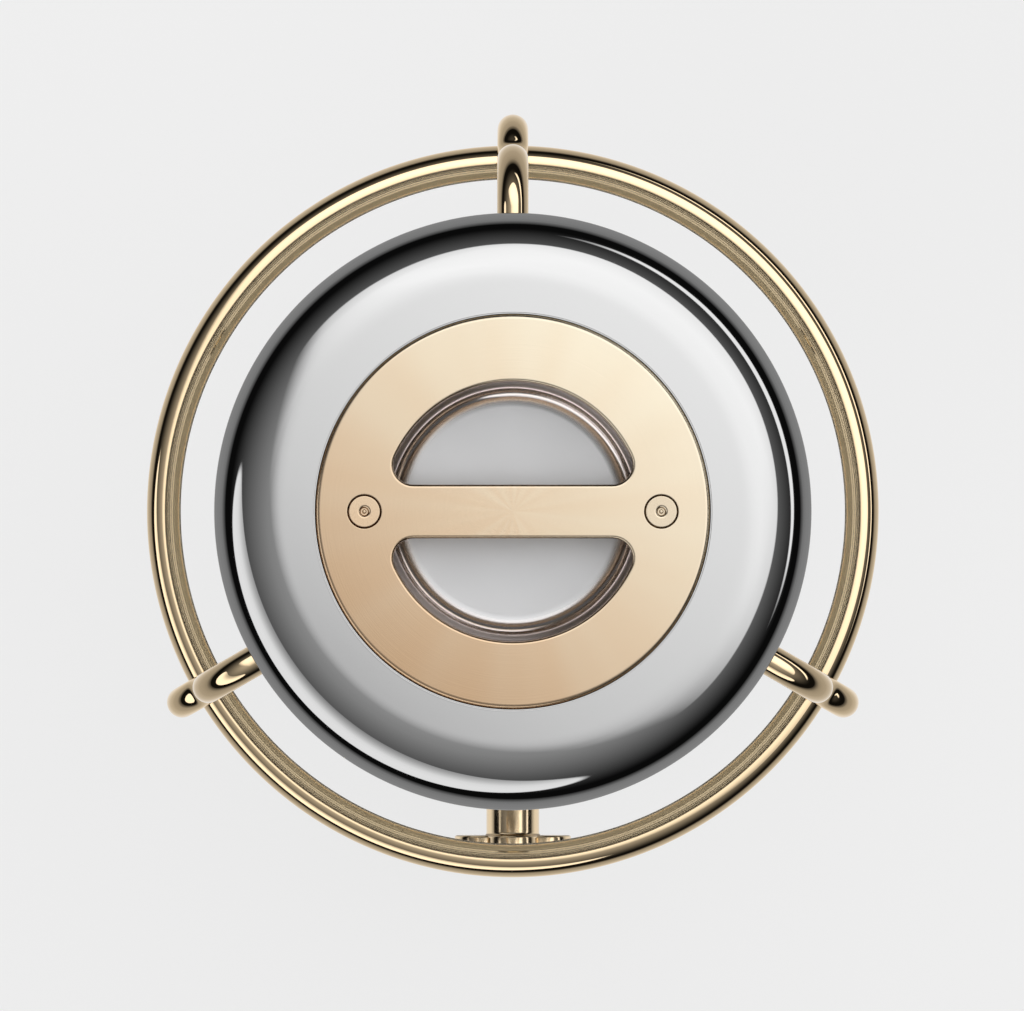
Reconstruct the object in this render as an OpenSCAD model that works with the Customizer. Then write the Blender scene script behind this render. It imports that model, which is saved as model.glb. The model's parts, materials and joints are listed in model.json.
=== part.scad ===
// A battery lantern: a steel cap and a steel base clamp a ribbed glass drum between three bent guard rods
// and a guard ring. Millimetres, +Z up, origin on the lantern's axis under its foot, dimmer knob towards -Y.

/* [Overall] */
// Height from the floor to the middle of the crowned top
total_h = 295; // [290:1:300]
// Diameter of the cap and of the base
body_d = 120; // [119:0.5:121]
// Thickness of the steel skin of the cap and the base
wall_t = 2.5; // [2:0.1:3]

/* [Cap] */
// Height of the cap's straight side and crown together
cap_h = 52; // [50:1:54]
// How far in from the side the cap's rounding starts
round_w = 12.65; // [12:0.05:13.5]
// How far the cap's rounding falls
round_h = 7.8; // [7:0.1:9]
// Radius of the shallow dome across the cap
crown_r = 1000; // [900:50:1200]
// Diameter of the brass plate let into the cap
plate_d = 79.5; // [79:0.1:80]
// Thickness of the brass plate at its rim
plate_t = 2.5; // [2.2:0.1:2.8]
// Radius of the two half-moon windows
window_r = 26.1; // [25.8:0.1:26.4]
// Width of the hanging bar between the windows
bar_w = 10.8; // [10:0.1:12]
// Radius of the corners of the windows
window_corner_r = 4; // [3.5:0.1:4.5]
// Depth of the recess below the brass plate
recess_depth = 26; // [24:0.5:27]
// Distance of each plate screw from the axis
plate_screw_x = 29.8; // [29.7:0.1:30]

/* [Base] */
// Height of the base above its foot
base_h = 95; // [95:1:98]
// How far the foot stands proud of the base
foot_h = 3; // [2.8:0.1:3.2]
// Radius of the rounded lower edge of the base
edge_r = 7; // [6.5:0.1:7.5]

/* [Glass] */
// Inner radius of the glass drum
lens_in_r = 50.4; // [50.3:0.1:50.6]
// Radius at the crest of each glass rib
rib_crest_r = 56; // [55.5:0.1:56.5]
// Radius at the root of each glass rib
rib_root_r = 53.2; // [52.8:0.1:53.6]
// Ribs on each side of the middle belt
rib_count = 6; // [4:1:8]
// Half the height of the smooth middle belt
belt_half = 14; // [12:1:16]

/* [Guard] */
// Radius of the guard ring at the middle of its tube
ring_r = 71; // [70.8:0.1:71.2]
// Radius of the guard ring's tube
ring_tube_r = 3.45; // [3.4:0.01:3.5]
// Radius of a guard rod
rod_r = 3.15; // [3:0.01:3.2]
// Radius at which the rods stand upright
rod_line_r = 70.9; // [70.7:0.1:71.1]
// Radius of the bend at the top and the bottom of a rod
rod_bend_r = 9.5; // [9:0.1:10]
// Distance of a rod's end from the open side of the cap or base
rod_inset = 19; // [18:0.5:20]

/* [Dimmer] */
// Height of the knob above the floor
knob_z = 48; // [46:1:50]
// Radius of the knob's stem
stem_r = 5.45; // [5.3:0.05:5.5]
// Distance of the dial's back from the axis
dial_y = 66.75; // [66.5:0.05:67]
// Thickness of the dial
dial_t = 7.2; // [6.5:0.1:7.5]
// Lobes around the dial
lobe_count = 6; // [5:1:7]
// Radius of each lobe
lobe_r = 5.5; // [5.3:0.05:5.6]
// Distance of each lobe's middle from the knob's axis
lobe_ring_r = 7.5; // [7.4:0.05:7.6]

/* [Hidden] */
$fn = 96;
eps = 0.01;
// How far a cutting shape runs past the solid that it cuts
past = 1;
body_r = body_d / 2;
plate_r = plate_d / 2;
seat_gap = 0.2;
seat_r = plate_r + seat_gap;
running_gap = 0.05;
hole_gap = 0.05;
snug_gap = 0.02;
clear_gap = 0.1;

// The shoulders that face each other across the glass
base_z = foot_h;
base_top = foot_h + base_h;
cap_z = total_h - cap_h;
mid_z = (base_top + cap_z) / 2;
inner_r = body_r - wall_t;
rim_chamfer = 0.8;
glass_seat_r = 54.9;
glass_seat_deep = 1;
shoulder_t = 3.5;
port_r = 46;
gasket_t = 1.2;
gasket_in_r = 49.9;
gasket_out_r = 54.7;
lens_foot_r = 54.4;
lens_foot_h = 8;
belt_crest_r = rib_crest_r + 0.5;
rib_step = 0.6;
lens_z0 = base_top - glass_seat_deep + gasket_t;
lens_z1 = cap_z + glass_seat_deep - gasket_t;

// Cap plate and recess
plate_z = crown_z(plate_r) - plate_t;
plate_chamfer = 0.6;
ledge_t = 2.5;
ledge_in_r = 34;
ledge_out_r = 43.5;
recess_r = window_r + 0.5;
recess_fillet = 5.7;
recess_floor_r = recess_r - recess_fillet;
recess_z = plate_z - recess_depth;
cup_t = 1.6;
cup_land_r = ledge_in_r - 0.2;
cup_flange_r = 38.5;
screw_head_r = 3.42;
screw_sunk = 0.25;
screw_head_t = 1.7;
screw_r = 1.5;
screw_socket_r = 1.2;
screw_socket_deep = 1;
screw_pin_r = 0.4;
screw_pin_sunk = 0.3;

// Guard
rod_z1 = cap_z + rod_inset;
rod_z0 = base_top - rod_inset;
rod_angles = [90, 210, 330];
rod_gap = 0.03;
rod_in_r = 53;
jog_r = ring_tube_r + rod_r + rod_gap;
jog_fillet = 6;
jog_side = rod_line_r - ring_r + jog_fillet;
jog_h = sqrt(pow(jog_fillet + jog_r, 2) - pow(jog_side, 2));
jog_a = atan2(jog_h, jog_side);
rod_hole_gap = 0.03;
rod_boss_r = 6;
rod_boss_in = 50;
boss_weld = 0.6;
rod_sides = 16;
rod_stud_r = 2;
rod_stud_end = 46.5;
rod_nut_af = 7;
rod_nut_t = 3.2;

// Deck, lamp and reflector
deck_flange_r = 49.6;
deck_flange_t = 2;
deck_body_r = 45.7;
deck_z = base_top - glass_seat_deep;
deck_deep = 7;
m2_r = 1;
m2_head_r = 1.7;
m2_head_t = 1.2;
deck_screw_at = 47.85;
deck_screw_z = base_top - shoulder_t;
lead_bore_r = 3;
post_z = deck_z + deck_flange_t;
post_flange_r = 12;
post_flange_t = 2.5;
post_r = 6;
post_screw_at = 9;
post_screw_z = deck_z - 3.5;
fin_slots = 24;
fin_in_r = 23;
fin_long = 18;
fin_slot_w = 2;
fin_slot_deep = 4;
lamp_half = 21.5;
lamp_z0 = mid_z - lamp_half;
lamp_plate_r = 18;
lamp_plate_t = 3;
core_af = 14;
core_r = core_af / 2 / cos(30);
core_h = 36;
core_bore_deep = 5;
lead_in_core = 4.5;
led_board_w = 6;
led_board_t = 1;
led_board_z = 1;
led_w = 2.4;
led_t = 0.7;
led_rows = 4;
first_led_z = 5;
led_pitch = 8;
globe_r = 16;
globe_t = 1.5;
globe_ring_h = 4;
globe_ring_r = 18;
cone_r = 40;
cone_tip_r = 4;
cone_h = 20;
reflector_back_t = 3;

// Base interior
floor_t = 3.5;
cover_seat_t = 2.2;
cover_ledge_in = 34;
cover_ledge_t = 2;
cover_screw_at = 36.5;
m3_r = 1.5;
m3_head_r = 2.7;
m3_head_t = 1.4;
m3_socket_r = 1.15;
head_gap = 0.15;
cover_screw_sunk = 0.2;
cover_top = base_z + cover_seat_t;
foot_in_r = 43;
foot_out_r = 51;
foot_sunk = 1;
board_r = 48;
board_z = base_z + 6;
board_t = 1.6;
board_top = board_z + board_t;
board_boss_r = 3.2;
board_boss_at = 43.5;
boss_sunk = 1;
board_hole_z = base_z + 1.5;
board_screw_head_t = 1.8;
// Each larger chip's corner on the board, then its width, depth and height
board_chips = [[-5, 8, 7, 7, 1.2], [-18, -10, 5, 6, 1.1], [11, -14, 8, 8, 2.6], [-24, 8, 6, 4, 2.2]];
small_chip = [2, 1.25, 0.8];
cell_d = 21.2;
cell_h = 70.2;
cell_count = 6;
cell_button_r = 3.2;
cell_button_h = 1;
cell_ring_r = 21.6;
tray_r = 34;
tray_z = board_top + 3.4;
tray_t = 4;
tray_floor = 2;
cell_z = tray_z + tray_floor;
top_tray_z = cell_z + cell_h - tray_floor;
pack_rod_at = 29.5;
pack_rod_r = 2;
pack_nut_r = 3.2;
pack_nut_t = 1.5;
pack_top = top_tray_z + tray_t;
pad_in_r = 12;
pad_out_r = 24;
tray_hole_r = 6;
tray_leg_r = 2.5;
lead_r = 0.9;
lead_x = 1.3;

// Dimmer
knob_boss_r = 12;
knob_boss_in = 52;
knob_boss_out = 57.8;
knob_wall_y = 57;
knob_wall_hole_r = 5.85;
bush_r = 8;
bush_flange_r = 10.5;
bush_flange_t = 1.5;
seal_r = 0.9;
seal_ring_r = stem_r + seal_r + 0.03;
seal_y = 54.6;
seal_groove_r = 7.4;
stem_end_y = 50.2;
stem_fillet = 0.6;
shaft_r = 3;
shaft_end_y = 41.25;
shaft_front_y = 63.5;
encoder_y = 44;
encoder_t = 6.8;
encoder_w = 13;
encoder_collar_r = 4.5;
encoder_collar_end = 48.6;
encoder_cavity_r = 3.4;
encoder_face_t = 1;
plunger_r = 2.6;
plunger_t = 1.2;
plunger_y = 41.2;
cavity_end_y = 38.6;
wire_pitch = 2.5;
wire_in = 2.6;
wire_r = 0.6;
nut_af = 11;
nut_t = 1.8;
bracket_t = 1.2;
bracket_w = 18;
bracket_foot = 7;
bracket_foot_w = 4;
bracket_screw_x = 7;
bracket_screw_in = 4;
dial_screw_r = 1.25;
dial_screw_head_r = 2.7;
dial_chamfer = 0.8;
dial_back_chamfer = 0.4;
dial_bore_deep = 2;
dial_screw_sunk = 0.3;
dial_socket_deep = 1;

// Charging port and its shutter
port_y = 22;
port_w = 8.94;
port_h = 3.26;
port_z = base_z + 0.3;
port_wall = 0.35;
port_tongue_w = 6.7;
port_tongue_t = 0.7;
port_tongue_in = 0.8;
port_back_t = 1;
port_slot_gap = 0.33;
shutter_reach = 14;
shutter_half_w = 6.4;
shutter_t = 1.3;
shutter_gap = 0.1;
shutter_z = base_z - shutter_gap - shutter_t;
pivot_r = 2;
pivot_head_r = 3.6;
pivot_head_t = 0.9;
pivot_slot_w = 1;
pivot_slot_deep = 0.4;

function crown_z(r) = total_h - crown_r + sqrt(crown_r * crown_r - r * r);

// Points across the dome, and down the quarter of an ellipse that joins it to the side
function crown_line(r0, r1, inset, n) = [for (i = [0:n]) let (r = r0 + (r1 - r0) * i / n)
    [r, crown_z(r) - inset]];
function edge_line(inset, n) = [for (i = [1:n]) let (a = 90 * i / n,
    r = body_r - round_w + (round_w - inset) * sin(a))
    [r, crown_z(r) - inset - (round_h - inset) * (1 - cos(a))]];
function arc(x, z, r, a0, a1, n) = [for (i = [0:n]) let (a = a0 + (a1 - a0) * i / n)
    [x + r * cos(a), z + r * sin(a)]];
function flipped(points) = [for (i = [len(points) - 1:-1:0]) points[i]];
function mirrored(points) = [for (p = flipped(points)) [p[0], 2 * mid_z - p[1]]];

steel = [0.78, 0.78, 0.79];
satin = [0.70, 0.70, 0.71];
brass = [0.86, 0.74, 0.53];
dark = [0.16, 0.16, 0.17];
alloy = [0.66, 0.67, 0.69];
board_green = [0.10, 0.30, 0.20];

// A plain cylinder from one height to another
module post(r, z0, z1) {
    translate([0, 0, z0]) cylinder(r = r, h = z1 - z0);
}

// A cylinder that points out along -Y at the knob's height, from y = -y0 to y = -y1
module knob_post(r, y0, y1) {
    translate([0, -y0, knob_z]) rotate([90, 0, 0]) cylinder(r = r, h = y1 - y0);
}

// A cylinder that points out along a rod's end
module rod_post(a, z, r, x0, x1) {
    rotate([0, 0, a]) translate([x0, 0, z]) rotate([0, 90, 0]) cylinder(r = r, h = x1 - x0);
}

// A ring of equal things around the axis
module around(n, r, turn = 0) {
    for (i = [0:n - 1]) rotate([0, 0, turn + 360 * i / n]) translate([r, 0, 0]) children();
}

// The bosses' bores that take each rod and the stud on its end
module rod_bores(z) {
    for (a = rod_angles) {
        rod_post(a, z, rod_r + rod_hole_gap, rod_in_r, body_r + past);
        rod_post(a, z, rod_stud_r + hole_gap, rod_boss_in - past, rod_in_r + eps);
    }
}

module rod_bosses(z) {
    for (a = rod_angles) rod_post(a, z, rod_boss_r, rod_boss_in, inner_r + boss_weld);
}

// The outline of one window: a half moon with rounded corners
function moon_points() = let (y0 = bar_w / 2, c = window_corner_r, m = window_r - c,
        x0 = sqrt(m * m - (y0 + c) * (y0 + c)), a0 = atan2(y0 + c, x0))
    concat(arc(x0, y0 + c, c, -90, a0, 8), arc(0, 0, window_r, a0 + 2, 178 - a0, 40),
        arc(-x0, y0 + c, c, 180 - a0, 270, 8));

module windows() {
    for (side = [0, 180]) rotate([0, 0, side])
        translate([0, 0, plate_z - past]) linear_extrude(height = total_h - plate_z + 2 * past)
            polygon(moon_points());
}

module top_cap() color(steel) {
    outer = concat(crown_line(seat_r, body_r - round_w, 0, 3), edge_line(0, 16));
    inner = concat(crown_line(ledge_out_r, body_r - round_w, wall_t, 2), edge_line(wall_t, 8));
    difference() {
        union() {
            rotate_extrude() polygon(concat(outer,
                [[body_r, cap_z + rim_chamfer], [body_r - rim_chamfer, cap_z], [glass_seat_r, cap_z],
                 [glass_seat_r, cap_z + glass_seat_deep], [port_r, cap_z + glass_seat_deep],
                 [port_r, cap_z + shoulder_t], [inner_r, cap_z + shoulder_t]],
                flipped(inner),
                [[ledge_out_r, plate_z - ledge_t], [ledge_in_r, plate_z - ledge_t],
                 [ledge_in_r, plate_z], [seat_r, plate_z]]));
            rod_bosses(rod_z1);
        }
        rod_bores(rod_z1);
        around(3, deck_screw_at, 30) post(m2_r + snug_gap, cap_z, cap_z + shoulder_t + past);
    }
}

module cap_plate() color(brass) {
    top = flipped(crown_line(0, plate_r - plate_chamfer, 0, 8));
    difference() {
        rotate_extrude() polygon(concat([[0, plate_z], [plate_r, plate_z],
            [plate_r, crown_z(plate_r) - plate_chamfer]], top));
        windows();
        for (x = [-plate_screw_x, plate_screw_x]) translate([x, 0, 0]) {
            post(screw_r + clear_gap, plate_z - past, total_h);
            post(screw_head_r + seat_gap, crown_z(plate_screw_x) - screw_sunk - screw_head_t, total_h);
        }
    }
}

module cap_screws() color(brass) {
    head_z = crown_z(plate_screw_x) - screw_sunk;
    for (x = [-plate_screw_x, plate_screw_x]) translate([x, 0, 0]) {
        difference() {
            union() {
                post(screw_head_r, head_z - screw_head_t, head_z);
                post(screw_r, plate_z - ledge_t * 2, head_z - screw_head_t + eps);
            }
            post(screw_socket_r, head_z - screw_socket_deep, head_z + past);
        }
        post(screw_pin_r, head_z - screw_socket_deep - eps, head_z - screw_pin_sunk);
    }
}

module recess_cup() color(satin) {
    fillet_z = recess_z + recess_fillet;
    difference() {
        rotate_extrude() polygon(concat(
            [[0, recess_z]], arc(recess_floor_r, fillet_z, recess_fillet, -90, 0, 10),
            [[recess_r, plate_z], [cup_land_r, plate_z], [cup_land_r, plate_z - ledge_t],
             [cup_flange_r, plate_z - ledge_t], [cup_flange_r, plate_z - 2 * ledge_t],
             [recess_r + cup_t, plate_z - 2 * ledge_t]],
            arc(recess_floor_r, fillet_z, recess_fillet + cup_t, 0, -90, 10),
            [[0, recess_z - cup_t]]));
        for (x = [-plate_screw_x, plate_screw_x]) translate([x, 0, 0])
            post(screw_r + hole_gap, plate_z - 2 * ledge_t - past, plate_z + past);
    }
}

// The reflector is a horn: steep at its tip, and level where it meets its flange
function horn_line(z, n) = [for (i = [0:n]) let (t = i / n)
    [cone_tip_r + (cone_r - cone_tip_r) * t, z - cone_h * (1 - t) * (1 - t)]];

module cap_reflector() color(alloy) {
    z = cap_z + glass_seat_deep;
    face_z = z - deck_flange_t;
    difference() {
        rotate_extrude() polygon(concat([[0, face_z - cone_h]], horn_line(face_z, 10),
            [[deck_flange_r, face_z], [deck_flange_r, z], [deck_body_r, z],
             [deck_body_r, z + reflector_back_t], [0, z + reflector_back_t]]));
        around(3, deck_screw_at, 30) post(m2_r + hole_gap, face_z - past, z + past);
    }
}

module reflector_screws() color(steel) {
    z = cap_z + glass_seat_deep - deck_flange_t;
    around(3, deck_screw_at, 30) {
        post(m2_head_r, z - m2_head_t, z);
        post(m2_r, z - eps, cap_z + shoulder_t);
    }
}

module gasket(z0) color(dark) difference() {
    post(gasket_out_r, z0, z0 + gasket_t);
    post(gasket_in_r, z0 - past, z0 + gasket_t + past);
}
module upper_gasket() gasket(lens_z1);
module lower_gasket() gasket(base_top - glass_seat_deep);

// The glass is thickest at its belt, and each rib above it slopes in and steps out again
module glass_lens() color([0.80, 0.88, 0.90, 0.5]) {
    ribs_z0 = mid_z + belt_half;
    pitch = (lens_z1 - lens_foot_h - ribs_z0) / rib_count;
    belt = [for (i = [0:8]) let (z = belt_half * i / 8)
        [belt_crest_r - (belt_crest_r - rib_root_r) * pow(z / belt_half, 2), mid_z + z]];
    ribs = [for (i = [0:rib_count - 1]) each
        [[rib_crest_r, ribs_z0 + pitch * i + rib_step], [rib_root_r, ribs_z0 + pitch * (i + 1)]]];
    upper = concat(belt, ribs, [[lens_foot_r, lens_z1 - lens_foot_h + rib_step], [lens_foot_r, lens_z1]]);
    lower = mirrored([for (i = [1:len(upper) - 1]) upper[i]]);
    rotate_extrude() polygon(concat([[lens_in_r, lens_z1], [lens_in_r, lens_z0]], lower, upper));
}

module guard_ring() color(brass)
    translate([0, 0, mid_z]) rotate_extrude($fn = 180) translate([ring_r, 0])
        circle(r = ring_tube_r, $fn = 48);

// The middle line of a rod's upper half as [radius, height]: out of the cap, down, and out round the ring
function half_rod_line() = concat([[rod_in_r, rod_z1]],
    arc(rod_line_r - rod_bend_r, rod_z1 - rod_bend_r, rod_bend_r, 90, 0, 9),
    arc(rod_line_r + jog_fillet, mid_z + jog_h, jog_fillet, 180, 180 + jog_a, 5),
    [for (i = [1:6]) let (a = jog_a * (1 - i / 6)) [ring_r + jog_r * cos(a), mid_z + jog_r * sin(a)]]);

// A round tube along a line in the XZ plane, each ring square to the line
module swept(line, r, sides) {
    last = len(line) - 1;
    tangents = [for (i = [0:last]) let (d = line[min(i + 1, last)] - line[max(i - 1, 0)]) d / norm(d)];
    points = [for (i = [0:last]) for (k = [0:sides - 1]) let (u = 360 * k / sides)
        [line[i][0] + r * cos(u) * tangents[i][1], r * sin(u), line[i][1] - r * cos(u) * tangents[i][0]]];
    walls = [for (i = [0:last - 1]) for (k = [0:sides - 1]) let (a = i * sides + k,
        b = i * sides + (k + 1) % sides) each [[a, b + sides, b], [a, a + sides, b + sides]]];
    ends = [[for (k = [0:sides - 1]) k], [for (k = [sides - 1:-1:0]) last * sides + k]];
    polyhedron(points, concat(walls, ends));
}

module guard_rod(a) color(brass) {
    upper = half_rod_line();
    lower = mirrored([for (i = [0:len(upper) - 2]) upper[i]]);
    rotate([0, 0, a]) swept(concat(upper, lower), rod_r, rod_sides);
    for (z = [rod_z0, rod_z1]) rod_post(a, z, rod_stud_r, rod_stud_end, rod_in_r);
}
module guard_rod_rear() guard_rod(rod_angles[0]);
module guard_rod_left() guard_rod(rod_angles[1]);
module guard_rod_right() guard_rod(rod_angles[2]);

module rod_nuts(z) color(steel) for (a = rod_angles) difference() {
    rotate([0, 0, a]) translate([rod_boss_in - rod_nut_t, 0, z]) rotate([0, 90, 0])
        cylinder(r = rod_nut_af / 2 / cos(30), h = rod_nut_t, $fn = 6);
    rod_post(a, z, rod_stud_r + hole_gap, rod_stud_end - past, rod_boss_in + past);
}
module upper_rod_nuts() rod_nuts(rod_z1);
module lower_rod_nuts() rod_nuts(rod_z0);

module base_shell() color(steel) {
    edge_c = body_r - edge_r;
    outer_edge = arc(edge_c, base_z + edge_r, edge_r, -90, 0, 12);
    inner_edge = arc(edge_c, base_z + edge_r, edge_r - wall_t, 0, -70, 8);
    difference() {
        union() {
            rotate_extrude() polygon(concat([[seat_r, base_z]], outer_edge,
                [[body_r, base_top - rim_chamfer], [body_r - rim_chamfer, base_top],
                 [glass_seat_r, base_top], [glass_seat_r, base_top - glass_seat_deep],
                 [port_r, base_top - glass_seat_deep], [port_r, base_top - shoulder_t],
                 [inner_r, base_top - shoulder_t]],
                inner_edge,
                [[edge_c, base_z + floor_t], [cover_ledge_in, base_z + cover_seat_t + cover_ledge_t],
                 [cover_ledge_in, base_z + cover_seat_t], [seat_r, base_z + cover_seat_t]]));
            rod_bosses(rod_z0);
            around(4, board_boss_at, 45) post(board_boss_r, base_z + floor_t - boss_sunk, board_z);
            knob_post(knob_boss_r, knob_boss_in, knob_boss_out);
        }
        rod_bores(rod_z0);
        around(3, deck_screw_at, 30) post(m2_r + snug_gap, base_top - shoulder_t - past, base_top + past);
        around(4, cover_screw_at, 0) post(m3_r + hole_gap, base_z, base_z + floor_t + boss_sunk + past);
        around(4, board_boss_at, 45) post(m3_r + hole_gap, board_hole_z, board_z + past);
        knob_post(knob_wall_hole_r, knob_boss_in - past, body_r + past);
        knob_post(bush_r + snug_gap, knob_boss_in - past, knob_wall_y);
        difference() {
            post(foot_out_r + clear_gap, base_z - past, base_z + foot_sunk);
            post(foot_in_r - clear_gap, base_z - 2 * past, base_z + foot_sunk + past);
        }
    }
}

module base_cover() color(brass) {
    slot_w = port_w - port_h;
    difference() {
        post(plate_r, base_z, base_z + cover_seat_t);
        around(4, cover_screw_at, 0) {
            post(m3_r + clear_gap, base_z - past, cover_top + past);
            post(m3_head_r + head_gap, base_z - past, base_z + m3_head_t);
        }
        translate([0, port_y, 0]) {
            for (x = [-slot_w / 2, slot_w / 2]) translate([x, 0, 0])
                post(port_h / 2 + port_slot_gap, base_z - past, cover_top + past);
            translate([-slot_w / 2, -port_h / 2 - port_slot_gap, base_z - past])
                cube([slot_w, port_h + 2 * port_slot_gap, cover_seat_t + 2 * past]);
        }
        translate([shutter_reach, port_y, 0]) post(pivot_r + snug_gap, base_z - past, cover_top + past);
    }
}

module cover_screws() color(steel) around(4, cover_screw_at, 0) difference() {
    union() {
        post(m3_head_r, base_z + cover_screw_sunk, base_z + m3_head_t);
        post(m3_r, base_z + m3_head_t - eps, cover_top + cover_ledge_t);
    }
    translate([0, 0, base_z - past]) cylinder(r = m3_socket_r, h = 2 * past, $fn = 6);
}

module foot_ring() color(dark) difference() {
    post(foot_out_r, 0, base_z + foot_sunk);
    post(foot_in_r, -past, base_z + foot_sunk + past);
}

module lamp_deck() color(alloy) difference() {
    union() {
        post(deck_flange_r, deck_z, deck_z + deck_flange_t);
        post(deck_body_r, deck_z - deck_deep, deck_z + eps);
    }
    post(lead_bore_r + 0.5, deck_z - deck_deep - past, post_z + past);
    around(3, deck_screw_at, 30) post(m2_r + hole_gap, deck_z - past, post_z + past);
    around(3, post_screw_at, 90) post(m2_r + snug_gap, post_screw_z - 0.5, post_z + past);
    around(fin_slots, fin_in_r) translate([0, -fin_slot_w / 2, deck_z - deck_deep - past])
        cube([fin_long, fin_slot_w, fin_slot_deep + past]);
}

module deck_screws() color(steel) around(3, deck_screw_at, 30) {
    post(m2_head_r, post_z, post_z + m2_head_t);
    post(m2_r, deck_screw_z, post_z + eps);
}

module lamp_post() color(steel) difference() {
    union() {
        post(post_flange_r, post_z, post_z + post_flange_t);
        post(post_r, post_z, lamp_z0 - lamp_plate_t + eps);
        post(lamp_plate_r, lamp_z0 - lamp_plate_t, lamp_z0);
    }
    post(lead_bore_r, post_z - past, lamp_z0 + past);
    around(3, post_screw_at, 90) post(m2_r + hole_gap, post_z - past, post_z + post_flange_t + past);
}

module post_screws() color(steel) around(3, post_screw_at, 90) {
    post(m2_head_r, post_z + post_flange_t, post_z + post_flange_t + m2_head_t);
    post(m2_r, post_screw_z, post_z + post_flange_t + eps);
}

module lamp_core() color(alloy) difference() {
    translate([0, 0, lamp_z0]) cylinder(r = core_r, h = core_h, $fn = 6);
    post(lead_bore_r, lamp_z0 - past, lamp_z0 + core_bore_deep);
}

module led_boards() color([0.92, 0.92, 0.90]) around(6, core_af / 2, 30)
    translate([0, -led_board_w / 2, lamp_z0 + led_board_z])
        cube([led_board_t, led_board_w, core_h - 2 * led_board_z]);

module leds() color([0.95, 0.85, 0.35]) around(6, core_af / 2 + led_board_t, 30)
    for (i = [0:led_rows - 1]) translate([0, -led_w / 2, lamp_z0 + first_led_z + i * led_pitch])
        cube([led_t, led_w, led_w]);

module diffuser_globe() color([0.97, 0.96, 0.92]) {
    dome_z = lamp_z0 + 2 * lamp_half - globe_r;
    rotate_extrude() polygon(concat([[globe_r, lamp_z0]], arc(0, dome_z, globe_r, 0, 90, 14),
        arc(0, dome_z, globe_r - globe_t, 90, 0, 14), [[globe_r - globe_t, lamp_z0]]));
}

module globe_ring() color(brass) difference() {
    post(globe_ring_r, lamp_z0, lamp_z0 + globe_ring_h);
    post(globe_r + hole_gap, lamp_z0 - past, lamp_z0 + globe_ring_h + past);
}

module lamp_lead() color([0.70, 0.12, 0.10]) for (x = [-lead_x, lead_x]) translate([x, 0, 0])
    post(lead_r, board_top, lamp_z0 + lead_in_core, $fn = 24);

module main_board() color(board_green) difference() {
    post(board_r, board_z, board_top);
    around(4, board_boss_at, 45) post(m3_r + clear_gap, board_z - past, board_top + past);
}

module board_parts() color(dark) {
    for (chip = board_chips) translate([chip[0], chip[1], board_top]) cube([chip[2], chip[3], chip[4]]);
    for (i = [0:4]) translate([-4 + 4 * i, -20, board_top]) cube(small_chip);
}

module board_screws() color(steel) around(4, board_boss_at, 45) {
    post(m3_head_r, board_top, board_top + board_screw_head_t);
    post(m3_r, board_hole_z + 0.5, board_top + eps);
}

module battery_cells() color([0.20, 0.42, 0.62]) around(cell_count, cell_ring_r) {
    post(cell_d / 2, cell_z, cell_z + cell_h - cell_button_h);
    post(cell_button_r, cell_z + cell_h - cell_button_h - eps, cell_z + cell_h);
}

module tray_disc(z0) {
    difference() {
        post(tray_r, z0, z0 + tray_t);
        post(tray_hole_r, z0 - past, z0 + tray_t + past);
        around(3, pack_rod_at, 30) post(pack_rod_r + hole_gap, z0 - past, z0 + tray_t + past);
    }
}

module lower_cell_tray() color(dark) {
    difference() {
        tray_disc(tray_z);
        around(cell_count, cell_ring_r) post(cell_d / 2 + clear_gap, cell_z, tray_z + tray_t + past);
    }
    around(3, pack_rod_at, 90) post(tray_leg_r, board_top, tray_z + eps);
}

module upper_cell_tray() color(dark) difference() {
    tray_disc(top_tray_z);
    around(cell_count, cell_ring_r) post(cell_d / 2 + clear_gap, top_tray_z - past, cell_z + cell_h);
}

module pack_rods() color(steel) around(3, pack_rod_at, 30) {
    post(pack_rod_r, tray_z, pack_top + eps);
    translate([0, 0, pack_top]) cylinder(r = pack_nut_r, h = pack_nut_t, $fn = 6);
    post(pack_nut_r, tray_z - pack_nut_t, tray_z + eps);
}

module pack_pad() color([0.30, 0.30, 0.32]) difference() {
    post(pad_out_r, pack_top, deck_z - deck_deep);
    post(pad_in_r, pack_top - past, deck_z - deck_deep + past);
}

// A rounded slot's solid around the port's place
module port_form(w, h, z0, z1) {
    for (x = [-(w - h) / 2, (w - h) / 2]) translate([x, port_y, 0]) post(h / 2, z0, z1, $fn = 32);
    translate([-(w - h) / 2, port_y - h / 2, z0]) cube([w - h, h, z1 - z0]);
}

module charging_socket() color(steel) {
    difference() {
        port_form(port_w, port_h, port_z, board_z);
        port_form(port_w - 2 * port_wall, port_h - 2 * port_wall, port_z - past, board_z - port_back_t);
    }
    translate([-port_tongue_w / 2, port_y - port_tongue_t / 2, port_z + port_tongue_in])
        cube([port_tongue_w, port_tongue_t, board_z - port_back_t - port_z - port_tongue_in + eps]);
}

module port_shutter() color(brass) {
    difference() {
        union() {
            translate([0, port_y, 0]) post(shutter_half_w, shutter_z, shutter_z + shutter_t);
            translate([shutter_reach, port_y, 0]) post(shutter_half_w, shutter_z, shutter_z + shutter_t);
            translate([0, port_y - shutter_half_w, shutter_z])
                cube([shutter_reach, 2 * shutter_half_w, shutter_t]);
        }
        translate([shutter_reach, port_y, 0]) post(pivot_r + running_gap, shutter_z - past, base_z);
    }
}

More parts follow.
